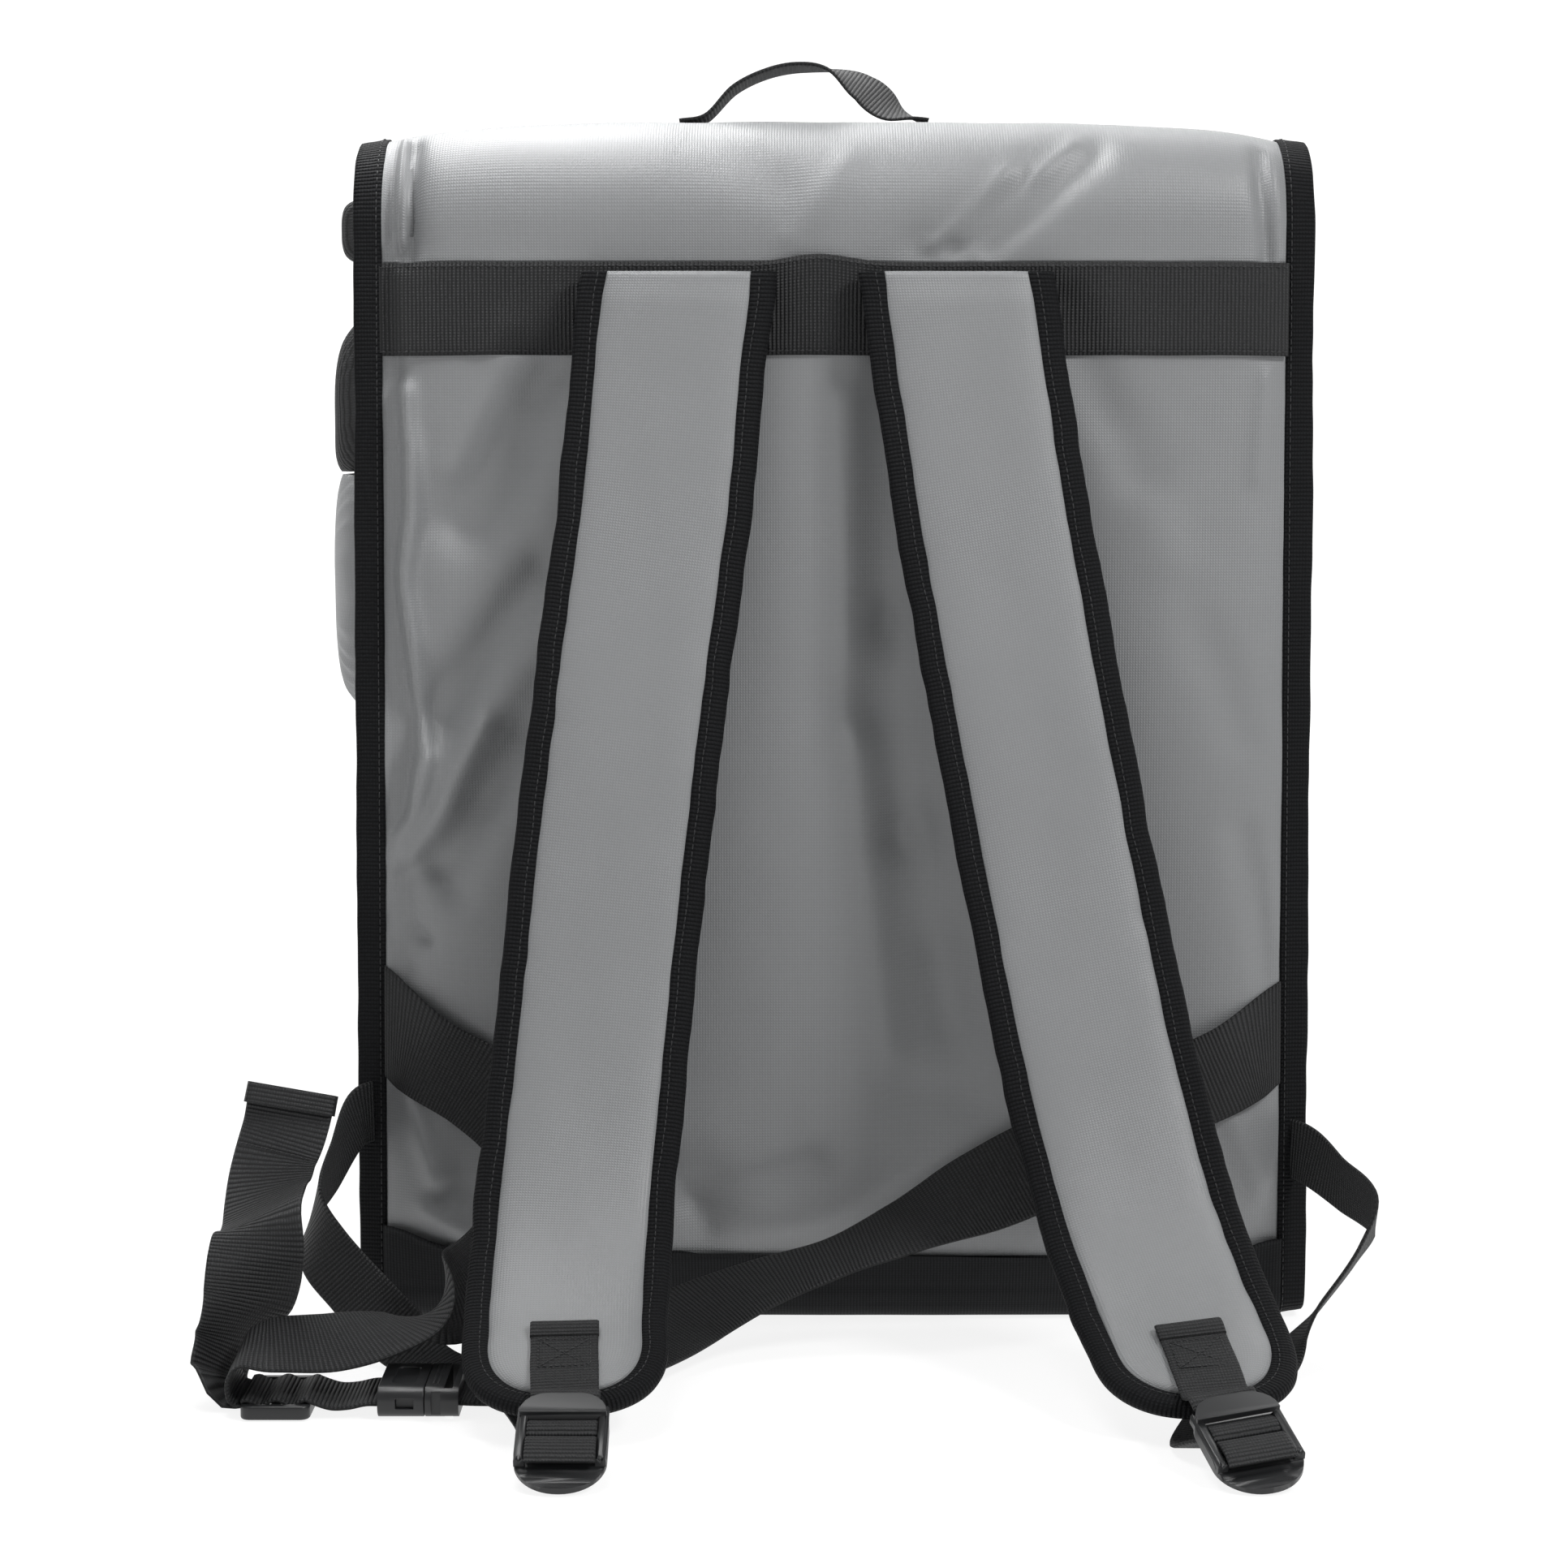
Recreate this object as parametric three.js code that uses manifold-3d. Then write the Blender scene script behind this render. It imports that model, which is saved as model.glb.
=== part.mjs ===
// An insulated delivery backpack in millimetres, +Z up, standing on the floor with its origin
// at the base's centre. The side with the shoulder straps faces -Y, and left is -X as seen from there.
import * as THREE from 'three';
import Module from 'manifold-3d';

const wasm = await Module();
wasm.setup();

// Bag: a padded box of coated cloth with a lid that is cut off at the rim
const bodyWidth = 380;
const footFlare = 3;
const bodyDepth = 256;
const bodyHeight = 503;
const lidHeight = 53;
const wall = 7;
const backPillow = 12;
const frontPillow = 9;
const sidePillow = 6;
const topCrown = 8;
const backRoll = 36;
const frontRoll = 24;
const footRadius = 10;
const fit = 0.4;
const softFit = 0.8;

// Coverings of the bag
const coverHeight = 33;
const coverThick = 2;
const bandHeight = 38;
const bandThick = 1.4;
const bandEnd = 5;
const flapDrop = 120;
const flapWidth = 330;
const flapThick = 2.5;
const seamTape = 9;
const seamTapeThick = 2.4;
const seamStand = 1;

// Shoulder straps
const strapWidth = 80;
const strapThick = 12;
const strapTape = 8.6;
const strapTapeRoll = 3.7;
const strapEnd = 34;
const strapReach = 188;
const strapStand = 0.7;

// Webbing and hardware
const webbingThick = 1.6;
const strapWebbing = 26;
const hipWebbing = 38;
const handleWebbing = 32;
const webbingLie = 1.4;
const lockWidth = 34;
const lockLength = 47;
const lockThick = 4.5;
const lockRail = 3.6;
const lockLift = 1;
const lockLead = 16;
const lockAhead = 18;
const lockProp = 11;
const sliderLength = 46;
const sliderWidth = 27;
const sliderThick = 5.5;
const sliderRail = 4;
const sliderRound = 3;
const buckleWidth = 42;
const socketLength = 18;
const plugLength = 13;
const buckleThick = 12;
const buckleRound = 5;
const buckleEdge = 1.5;
const tabLength = 46;
const tabSewn = 0.92;
const tabTurn = 5;
const hemLength = 9;
const handleRise = 24;
const hardwareLift = 0.6;

// Left side panel
const pocketWidth = 170;
const pocketHeight = 104;
const pocketBulge = 21;
const pocketBase = 258;
const pocketMouth = 12;
const pocketWall = 2;
const flapTabWidth = 60;
const flapTabHeight = 70;
const flapTabBulge = 25;
const flapTabSag = 0.26;
const flapTabFoot = 5;
const flapTabWall = 2.4;
const topTabWidth = 26;
const topTabHeight = 28;
const topTabBulge = 13.5;
const topTabRise = 1.5;

// Worked out from the sizes above
const rimHeight = bodyHeight - lidHeight;
const floorGap = coverThick + fit;
const halfDepth = bodyDepth / 2;
const strapSeat = backPillow + fit + bandThick + strapStand + strapThick / 2;
const padHalf = strapWidth / 2 - strapTape - softFit;

// Folds of the strap side. x: share of the half width, z: share of the body's height,
// spread: share of the body's width, depth: share of the back pillow, less than 0 for a valley.
const backFolds = [
  { x0: -0.69, z0: 0.785, x1: -0.84, z1: 0.69, spread: 0.036, depth: -0.34 },
  { x0: -0.66, z0: 0.72, x1: -0.9, z1: 0.53, spread: 0.042, depth: -0.42 },
  { x0: -0.66, z0: 0.555, x1: -0.8, z1: 0.46, spread: 0.036, depth: -0.34 },
  { x0: 0.03, z0: 0.79, x1: 0.07, z1: 0.53, spread: 0.05, depth: -0.34 },
  { x0: 0.07, z0: 0.53, x1: 0.19, z1: 0.21, spread: 0.05, depth: -0.42 },
  { x0: -0.29, z0: 0.17, x1: -0.17, z1: 0.1, spread: 0.05, depth: 0.25 },
  { x0: -0.99, z0: 0.42, x1: -0.99, z1: 0.31, spread: 0.04, depth: -0.6 },
  { x0: 0.56, z0: 0.975, x1: 0.2, z1: 0.91, spread: 0.028, depth: -0.3 },
  { x0: -0.94, z0: 0.975, x1: -0.92, z1: 0.91, spread: 0.02, depth: -0.35 },
];

// How the side panels swell between their seams. inset: share of the half depth, out: of the swell.
const sideSwell = [
  { inset: 0.09, out: 0.45 },
  { inset: 0.26, out: 0.82 },
  { inset: 0.52, out: 1 },
];

// Centre lines of the shoulder straps. across: share of the half width, off: share of the way from
// the panel to the strap's reach, up: share of the rim's height.
const leftStrapRoute = [
  { across: -0.337, off: 0, up: 0.991 },
  { across: -0.36, off: 0.01, up: 0.913 },
  { across: -0.384, off: 0.04, up: 0.796 },
  { across: -0.434, off: 0.093, up: 0.636 },
  { across: -0.485, off: 0.153, up: 0.456 },
  { across: -0.526, off: 0.26, up: 0.282 },
  { across: -0.552, off: 0.427, up: 0.16 },
  { across: -0.558, off: 0.63, up: 0.091 },
  { across: -0.552, off: 0.833, up: 0.052 },
  { across: -0.542, off: 1, up: 0.029 },
];
const rightStrapRoute = [
  { across: 0.262, off: 0, up: 0.991 },
  { across: 0.293, off: 0.01, up: 0.907 },
  { across: 0.332, off: 0.04, up: 0.796 },
  { across: 0.399, off: 0.093, up: 0.636 },
  { across: 0.474, off: 0.153, up: 0.471 },
  { across: 0.549, off: 0.26, up: 0.308 },
  { across: 0.593, off: 0.338, up: 0.227 },
  { across: 0.64, off: 0.463, up: 0.148 },
  { across: 0.691, off: 0.642, up: 0.089 },
  { across: 0.727, off: 0.833, up: 0.052 },
  { across: 0.745, off: 1, up: 0.029 },
];

// Routes of the flat webbing. across and up as above, off: share of the strap's reach in front
// of the panel, wx wy wz: the direction of the webbing's width.
const leftBeltRoute = [
  { across: -0.985, off: 0.004, up: 0.285, wx: 0.56, wy: -0.2, wz: 0.83 },
  { across: -0.909, off: 0.014, up: 0.26, wx: 0.56, wy: -0.16, wz: 0.83 },
  { across: -0.788, off: 0.012, up: 0.23, wx: 0.56, wy: -0.06, wz: 0.83 },
  { across: -0.687, off: 0.014, up: 0.19, wx: 0.82, wy: -0.03, wz: 0.56 },
  { across: -0.647, off: 0.05, up: 0.146, wx: 1, wy: 0.02, wz: 0.1 },
  { across: -0.687, off: 0.15, up: 0.104, wx: 0.94, wy: 0.25, wz: -0.2 },
  { across: -0.773, off: 0.37, up: 0.078, wx: 0.72, wy: 0.65, wz: -0.22 },
  { across: -0.899, off: 0.55, up: 0.06, wx: 0.32, wy: 0.93, wz: -0.1 },
  { across: -1.041, off: 0.65, up: 0.053, wx: 0.08, wy: 1, wz: 0 },
  { across: -1.162, off: 0.685, up: 0.054, wx: 0, wy: 1, wz: 0 },
  { across: -1.222, off: 0.69, up: 0.05, wx: 0, wy: 1, wz: 0 },
  { across: -1.246, off: 0.69, up: 0.032, wx: 0, wy: 1, wz: 0 },
  { across: -1.241, off: 0.69, up: 0.0138, wx: 0, wy: 1, wz: 0 },
  { across: -1.221, off: 0.69, up: 0.0098, wx: 0, wy: 1, wz: 0 },
];
const rightBeltRoute = [
  { across: 0.985, off: 0, up: 0.275, wx: -0.43, wy: -0.15, wz: 0.9 },
  { across: 0.889, off: 0.015, up: 0.25, wx: -0.43, wy: -0.12, wz: 0.9 },
  { across: 0.728, off: 0.014, up: 0.22, wx: -0.45, wy: -0.03, wz: 0.88 },
  { across: 0.43, off: 0.055, up: 0.157, wx: -0.42, wy: 0.35, wz: 0.82 },
  { across: 0.169, off: 0.13, up: 0.112, wx: -0.2, wy: 0.92, wz: 0.34 },
  { across: 0, off: 0.16, up: 0.083, wx: -0.1, wy: 0.97, wz: 0.2 },
  { across: -0.152, off: 0.2, up: 0.062, wx: -0.14, wy: 0.93, wz: 0.3 },
  { across: -0.303, off: 0.3, up: 0.042, wx: -0.22, wy: 0.88, wz: 0.4 },
  { across: -0.435, off: 0.47, up: 0.026, wx: -0.4, wy: 0.85, wz: 0.25 },
  { across: -0.556, off: 0.63, up: 0.0145, wx: -0.3, wy: 0.95, wz: 0.03 },
  { across: -0.667, off: 0.69, up: 0.0135, wx: -0.06, wy: 1, wz: 0 },
  { across: -0.768, off: 0.69, up: 0.0135, wx: 0, wy: 1, wz: 0 },
];
const tailRoute = [
  { across: -1.221, off: 0.64, up: 0.0046, wx: 0, wy: 1, wz: 0 },
  { across: -1.26, off: 0.64, up: 0.0052, wx: 0, wy: 1, wz: 0 },
  { across: -1.288, off: 0.605, up: 0.022, wx: 0.3, wy: 0.93, wz: 0.1 },
  { across: -1.274, off: 0.575, up: 0.047, wx: 0.66, wy: 0.72, wz: 0.2 },
  { across: -1.23, off: 0.575, up: 0.083, wx: 0.93, wy: 0.34, wz: 0.16 },
  { across: -1.213, off: 0.575, up: 0.122, wx: 0.96, wy: 0.02, wz: 0.28 },
  { across: -1.209, off: 0.55, up: 0.149, wx: 0.9, wy: -0.1, wz: 0.42 },
  { across: -1.208, off: 0.49, up: 0.157, wx: 0.88, wy: -0.12, wz: 0.44 },
  { across: -1.208, off: 0.43, up: 0.168, wx: 0.92, wy: -0.14, wz: 0.34 },
  { across: -1.2, off: 0.385, up: 0.19, wx: 0.95, wy: -0.25, wz: 0.2 },
  { across: -1.179, off: 0.36, up: 0.219, wx: 0.95, wy: -0.25, wz: 0.2 },
  { across: -1.164, off: 0.34, up: 0.252, wx: 0.95, wy: -0.2, wz: 0.22 },
];
const leftLowerRoute = [
  { across: -1.062, off: 0.027, up: 0.2, wx: 0, wy: 0, wz: 1 },
  { across: -1.1, off: 0.128, up: 0.1667, wx: 0, wy: -0.35, wz: 0.93 },
  { across: -1.132, off: 0.277, up: 0.1311, wx: 0.3, wy: -0.35, wz: 0.85 },
  { across: -1.1, off: 0.34, up: 0.1022, wx: 0.55, wy: -0.1, wz: 0.75 },
  { across: -1.027, off: 0.362, up: 0.0667, wx: 0.74, wy: 0, wz: 0.67 },
  { across: -0.953, off: 0.372, up: 0.0333, wx: 0.74, wy: 0.2, wz: 0.55 },
  { across: -0.884, off: 0.399, up: 0.01, wx: 0.65, wy: 0.7, wz: 0.15 },
  { across: -0.779, off: 0.468, up: 0.0038, wx: 0.4, wy: 0.9, wz: 0 },
  { across: -0.668, off: 0.612, up: 0.0038, wx: 0.86, wy: 0.5, wz: 0 },
  { across: -0.595, off: 0.824, up: 0.0038, wx: 0.96, wy: 0.25, wz: 0 },
  { across: -0.553, off: 1.021, up: 0.0067, wx: 1, wy: 0.05, wz: 0 },
];
const rightLowerRoute = [
  { across: 1.062, off: 0.027, up: 0.1644, wx: 0, wy: 0, wz: 1 },
  { across: 1.121, off: 0.128, up: 0.1467, wx: 0, wy: -0.35, wz: 0.93 },
  { across: 1.173, off: 0.287, up: 0.1289, wx: -0.05, wy: -0.7, wz: 0.7 },
  { across: 1.127, off: 0.335, up: 0.0978, wx: -0.15, wy: -0.93, wz: 0.35 },
  { across: 1.042, off: 0.372, up: 0.0533, wx: -0.12, wy: -0.93, wz: 0.3 },
  { across: 0.974, off: 0.404, up: 0.02, wx: 0.3, wy: -0.85, wz: 0.2 },
  { across: 0.91, off: 0.479, up: 0.0053, wx: 0.85, wy: -0.5, wz: 0 },
  { across: 0.832, off: 0.649, up: 0.0038, wx: 0.93, wy: -0.35, wz: 0 },
  { across: 0.763, off: 0.851, up: 0.0038, wx: 0.96, wy: -0.25, wz: 0 },
  { across: 0.722, off: 1.032, up: 0.0067, wx: 1, wy: -0.1, wz: 0 },
];
const handleRoute = [
  { across: -0.344, rise: 0, wx: 0, wy: 1 },
  { across: -0.288, rise: 0.08, wx: 0, wy: 1 },
  { across: -0.22, rise: 0.6, wx: 0.03, wy: 1 },
  { across: -0.145, rise: 0.88, wx: 0.06, wy: 1 },
  { across: -0.075, rise: 0.98, wx: 0.16, wy: 0.98 },
  { across: -0.005, rise: 0.93, wx: 0.34, wy: 0.92 },
  { across: 0.07, rise: 0.62, wx: 0.66, wy: 0.74 },
  { across: 0.14, rise: 0.2, wx: 0.62, wy: 0.78 },
  { across: 0.215, rise: 0.02, wx: 0.1, wy: 1 },
];

// Small helpers

const between = (value, low, high) => Math.min(Math.max(value, low), high);

function smooth(value, low, high) {
  const share = between((value - low) / (high - low), 0, 1);
  return share * share * (3 - 2 * share);
}

function halfWidthAt(z) {
  return bodyWidth / 2 + footFlare * (1 - between(z / bodyHeight, 0, 1));
}

// A closed solid through rings of points that all have the same count. Thin rings run out on one
// face and back on the other, and both faces are cut into the same triangles, so that they can't cross.
function loft(rings, { closed = false, thin = false } = {}) {
  const count = rings[0].length;
  const points = rings.flat();
  const faces = [];
  const last = closed ? rings.length : rings.length - 1;
  for (let row = 0; row < last; row += 1) {
    const here = row * count;
    const next = ((row + 1) % rings.length) * count;
    for (let i = 0; i < count; i += 1) {
      const j = (i + 1) % count;
      if (thin && i >= count / 2) {
        faces.push([here + i, next + i, here + j], [here + j, next + i, next + j]);
      } else {
        faces.push([here + i, next + i, next + j], [here + i, next + j, here + j]);
      }
    }
  }
  if (!closed) {
    capRing(points, faces, 0, count, true);
    capRing(points, faces, (rings.length - 1) * count, count, false);
  }
  return solidFrom(points, faces);
}

function capRing(points, faces, start, count, first) {
  const middle = new THREE.Vector3();
  for (let i = 0; i < count; i += 1) middle.add(points[start + i]);
  points.push(middle.divideScalar(count));
  const centre = points.length - 1;
  for (let i = 0; i < count; i += 1) {
    const a = start + i;
    const b = start + ((i + 1) % count);
    faces.push(first ? [centre, a, b] : [centre, b, a]);
  }
}

// Turns the faces outwards where the rings ran the other way round
function solidFrom(points, faces) {
  let volume = 0;
  const cross = new THREE.Vector3();
  for (const [a, b, c] of faces) {
    volume += points[a].dot(cross.crossVectors(points[b], points[c]));
  }
  const turned = volume < 0 ? faces.map(([a, b, c]) => [a, c, b]) : faces;
  return new wasm.Manifold(new wasm.Mesh({
    numProp: 3,
    vertProperties: new Float32Array(points.flatMap((p) => [p.x, p.y, p.z])),
    triVerts: new Uint32Array(turned.flat()),
  }));
}

function geometryOf(solid) {
  const mesh = solid.getMesh();
  const geometry = new THREE.BufferGeometry();
  geometry.setAttribute('position', new THREE.BufferAttribute(new Float32Array(mesh.vertProperties), 3));
  geometry.setIndex(new THREE.BufferAttribute(new Uint32Array(mesh.triVerts), 1));
  return geometry;
}

function solidOf(geometry) {
  const plain = geometry.index ? geometry.toNonIndexed() : geometry;
  const place = plain.getAttribute('position');
  const keys = new Map();
  const points = [];
  const order = [];
  for (let i = 0; i < place.count; i += 1) {
    const point = new THREE.Vector3().fromBufferAttribute(place, i);
    const key = point.toArray().map((value) => Math.round(value * 1e4)).join(' ');
    if (!keys.has(key)) {
      keys.set(key, points.length);
      points.push(point);
    }
    order.push(keys.get(key));
  }
  const faces = [];
  for (let i = 0; i < order.length; i += 3) {
    const [a, b, c] = order.slice(i, i + 3);
    if (a !== b && b !== c && a !== c) faces.push([a, b, c]);
  }
  return solidFrom(points, faces);
}

function block(x0, x1, y0, y1, z0, z1) {
  const box = new THREE.BoxGeometry(x1 - x0, y1 - y0, z1 - z0);
  box.translate((x0 + x1) / 2, (y0 + y1) / 2, (z0 + z1) / 2);
  return solidOf(box);
}

// How far the strap side swells and creases at a place
function foldDepth(x, z) {
  const share = x / halfWidthAt(z);
  const up = z / bodyHeight;
  let depth = 0;
  for (const fold of backFolds) {
    const runX = (fold.x1 - fold.x0) * bodyWidth / 2;
    const runZ = (fold.z1 - fold.z0) * bodyHeight;
    const fromX = (share - fold.x0) * bodyWidth / 2;
    const fromZ = (up - fold.z0) * bodyHeight;
    const along = between((fromX * runX + fromZ * runZ) / (runX * runX + runZ * runZ), 0, 1);
    const away = Math.hypot(fromX - along * runX, fromZ - along * runZ);
    depth += fold.depth * backPillow * Math.exp(-((away / (fold.spread * bodyWidth)) ** 2));
  }
  return depth;
}

function panelSwell(x, z) {
  const share = between(Math.abs(x) / halfWidthAt(z), 0, 1);
  const pillow = backPillow * (1 - share ** 10) * smooth(z, 0, coverHeight * 1.6);
  const seam = smooth(1 - share, 0, 0.06);
  return Math.max(pillow + foldDepth(x, z) * seam, 0);
}

// The side outline of the bag as a list of points with their outward direction and kind.
// grow moves the outline outwards, inset moves it inwards all round.
function sideOutline(grow) {
  const half = halfDepth + grow;
  const top = bodyHeight + grow;
  const foot = floorGap - grow;
  const low = Math.max(footRadius + grow, 2);
  const back = Math.max(backRoll + grow, 2);
  const front = Math.max(frontRoll + grow, 2);
  const points = [];
  const arc = (cy, cz, radius, from, steps, kind) => {
    for (let i = 0; i < steps; i += 1) {
      const angle = from - (Math.PI / 2) * (i / steps);
      const ny = Math.cos(angle);
      const nz = Math.sin(angle);
      points.push({ y: cy + radius * ny, z: cz + radius * nz, ny, nz, kind });
    }
  };
  const run = (y0, z0, y1, z1, steps, ny, nz, kind) => {
    for (let i = 0; i < steps; i += 1) {
      const share = i / steps;
      points.push({ y: y0 + (y1 - y0) * share, z: z0 + (z1 - z0) * share, ny, nz, kind });
    }
  };
  const straight = Math.PI;
  arc(-half + low, foot + low, low, straight * 1.5, 3, 'foot');
  run(-half, foot + low, -half, top - back, 20, -1, 0, 'back');
  arc(-half + back, top - back, back, straight, 6, 'roll');
  run(-half + back, top, half - front, top, 3, 0, 1, 'top');
  arc(half - front, top - front, front, straight / 2, 4, 'frontRoll');
  run(half, top - front, half, foot + low, 7, 1, 0, 'front');
  arc(half - low, foot + low, low, 0, 3, 'foot');
  run(half - low, foot, -half + low, foot, 2, 0, -1, 'base');
  return points;
}

function swellAt(point, share) {
  const across = Math.abs(share);
  const crown = topCrown * (1 - across ** 4);
  const x = share * halfWidthAt(point.z);
  if (point.kind === 'back') return panelSwell(x, point.z);
  if (point.kind === 'roll') {
    const turn = Math.abs(point.ny);
    return panelSwell(x, point.z) * turn + crown * (1 - turn);
  }
  if (point.kind === 'top') return crown;
  const pillow = frontPillow * (1 - across ** 10);
  const settle = smooth(point.z, 0, coverHeight * 1.6);
  if (point.kind === 'frontRoll') return crown * point.nz + pillow * (1 - point.nz);
  if (point.kind === 'front') return pillow * settle;
  return 0;
}

// Places across the bag's width, closer together towards the seams
function acrossShares(count) {
  const shares = [];
  for (let i = 0; i <= count; i += 1) {
    const t = -1 + 2 * i / count;
    shares.push(1.25 * t - 0.25 * t ** 3);
  }
  return shares;
}

function swellRing(points, share, grow) {
  const edge = Math.abs(share) > 0.999 ? Math.sign(share) * grow : 0;
  return points.map((point) => {
    const swell = swellAt(point, share);
    const y = point.y + point.ny * swell;
    const z = point.z + point.nz * swell;
    return new THREE.Vector3(share * halfWidthAt(point.z) + edge, y, z);
  });
}

function domeRing(row, side, grow) {
  const inset = row.inset * halfDepth;
  return sideOutline(grow - inset).map((point) => {
    const x = side * (halfWidthAt(point.z) + grow + row.out * sidePillow);
    return new THREE.Vector3(x, point.y, point.z);
  });
}

function bagForm(grow) {
  const points = sideOutline(grow);
  const left = sideSwell.map((row) => domeRing(row, -1, grow)).reverse();
  const middle = acrossShares(20).map((share) => swellRing(points, share, grow));
  const right = sideSwell.map((row) => domeRing(row, 1, grow));
  return loft([...left, ...middle, ...right]);
}

function bagHollow() {
  const points = sideOutline(-wall);
  const ring = (side) => points.map((point) => (
    new THREE.Vector3(side * (halfWidthAt(point.z) - wall), point.y, point.z)
  ));
  return loft([ring(-1), ring(1)]);
}

// Far enough to pass every face of the bag when it is cut
const beyond = 2 * (bodyWidth + bodyDepth + bodyHeight);

function makeBag() {
  const outer = bagForm(0);
  const hollow = bagHollow();
  const below = block(-beyond, beyond, -beyond, beyond, -beyond, rimHeight);
  const above = block(-beyond, beyond, -beyond, beyond, rimHeight + fit, beyond);
  const flapTop = rimHeight + backRoll / 2;
  const flapFoot = rimHeight - flapDrop;
  const curtain = block(-flapWidth / 2, flapWidth / 2, halfDepth - frontRoll, beyond, flapFoot, flapTop);
  const underLid = block(-beyond, beyond, -beyond, beyond, -beyond, rimHeight + fit);
  const clear = bagForm(fit).intersect(underLid);
  const flap = bagForm(fit + flapThick).intersect(curtain).subtract(clear);
  return {
    body: outer.intersect(below).subtract(hollow),
    lid: outer.intersect(above).add(flap).subtract(hollow),
  };
}

function makeCover() {
  const layer = bagForm(fit + coverThick).subtract(bagForm(fit));
  const end = bodyWidth / 2 + footFlare - fit;
  return layer.intersect(block(-end, end, -beyond, beyond, -beyond, coverHeight));
}

function makeTopBand() {
  const end = bodyWidth / 2 - bandEnd;
  const layer = bagForm(fit + bandThick).subtract(bagForm(fit));
  return layer.intersect(block(-end, end, -beyond, 0, rimHeight - bandHeight, rimHeight));
}

// The bound seam that stands out round a side panel
function makeSeamTape(side) {
  const outline = sideOutline(-seamTapeThick / 2);
  const rings = outline.filter((point, i) => point.kind !== 'back' || i % 2 === 1);
  return loft(rings.map((point) => {
    const inner = halfWidthAt(point.z) + seamStand;
    const outer = inner + seamTape;
    const at = (x, away) => (
      new THREE.Vector3(side * x, point.y + point.ny * away, point.z + point.nz * away)
    );
    const half = seamTapeThick / 2;
    const rim = outer - half;
    return [at(inner, half), at(rim, half), at(outer, 0), at(rim, -half), at(inner, -half)];
  }), { closed: true });
}

// Frames along a route: the middle, the width's direction and the outward direction
function frameAt(middle, along, width) {
  const across = width.clone().addScaledVector(along, -width.dot(along)).normalize();
  const out = new THREE.Vector3().crossVectors(along, across).normalize();
  return { middle, across, out };
}

function onPanel(row) {
  const x = row.across * bodyWidth / 2;
  const z = row.up * rimHeight;
  const lie = panelSwell(between(x, -bodyWidth / 2, bodyWidth / 2), z) + webbingLie;
  return new THREE.Vector3(x, -(halfDepth + lie + row.off * strapReach), z);
}

function routeFrames(points, widths, steps) {
  const line = new THREE.CatmullRomCurve3(points, false, 'centripetal');
  const turn = new THREE.CatmullRomCurve3(widths, false, 'centripetal');
  const frames = [];
  for (let i = 0; i <= steps; i += 1) {
    const t = i / steps;
    frames.push(frameAt(line.getPoint(t), line.getTangent(t), turn.getPoint(t)));
  }
  return frames;
}

// Flat webbing along its frames. What would sink below the floor is lifted to lie on it.
function ribbon(frames, width, thick) {
  return loft(frames.map(({ middle, across, out }) => {
    const u = width / 2;
    const h = thick / 2;
    const lowest = middle.z - Math.abs(across.z) * u - Math.abs(out.z) * h;
    const lift = Math.max(hardwareLift - lowest, 0);
    const at = (a, b) => {
      const point = middle.clone().addScaledVector(across, a).addScaledVector(out, b);
      point.z += lift;
      return point;
    };
    return [at(-u, -h), at(u, -h), at(u, h), at(-u, h)];
  }), { thin: true });
}

function routeRibbon(route, width, steps) {
  const points = route.map(onPanel);
  const widths = route.map((row) => new THREE.Vector3(row.wx, row.wy, row.wz));
  return ribbon(routeFrames(points, widths, steps), width, webbingThick);
}

// A shoulder strap's own surface: s runs down it in millimetres, u across it and h out of it
function strapSurface(route) {
  const points = route.map((row) => {
    const out = strapSeat + row.off * (strapReach - strapSeat);
    return new THREE.Vector3(row.across * bodyWidth / 2, -(halfDepth + out), row.up * rimHeight);
  });
  const line = new THREE.CatmullRomCurve3(points, false, 'centripetal');
  line.arcLengthDivisions = 400;
  const length = line.getLength();
  const frame = (s) => {
    const t = between(s / length, 0, 1);
    const along = line.getTangentAt(t);
    const made = frameAt(line.getPointAt(t), along, new THREE.Vector3(1, 0, 0));
    return { ...made, along };
  };
  const at = (s, u, h) => {
    const { middle, across, out } = frame(s);
    return middle.clone().addScaledVector(across, u).addScaledVector(out, h);
  };
  return { length, frame, at };
}

// Rounds the lower end of a strap: share of the width at a share of the end's length
const endRound = 2.5;
const roundShare = (share) => (1 - between(share, 0, 1) ** endRound) ** (1 / endRound);

function makePad(surface) {
  const length = surface.length - strapTape - softFit;
  const bodyEnd = length - strapEnd;
  const stations = [];
  for (let i = 0; i <= 18; i += 1) stations.push(bodyEnd * i / 18);
  for (const share of [0.35, 0.6, 0.8, 0.93, 0.985]) stations.push(bodyEnd + strapEnd * share);
  const section = [[-1, 0.4], [-0.84, 0.85], [-0.45, 1], [0.45, 1], [0.84, 0.85], [1, 0.4]];
  const outline = [...section, ...section.map(([u, h]) => [u, -h]).reverse()];
  return loft(stations.map((s) => {
    const round = roundShare((s - bodyEnd) / strapEnd);
    const half = padHalf * round;
    const thick = strapThick / 2 * (0.7 + 0.3 * round);
    return outline.map(([u, h]) => surface.at(s, u * half, h * thick));
  }));
}

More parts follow.
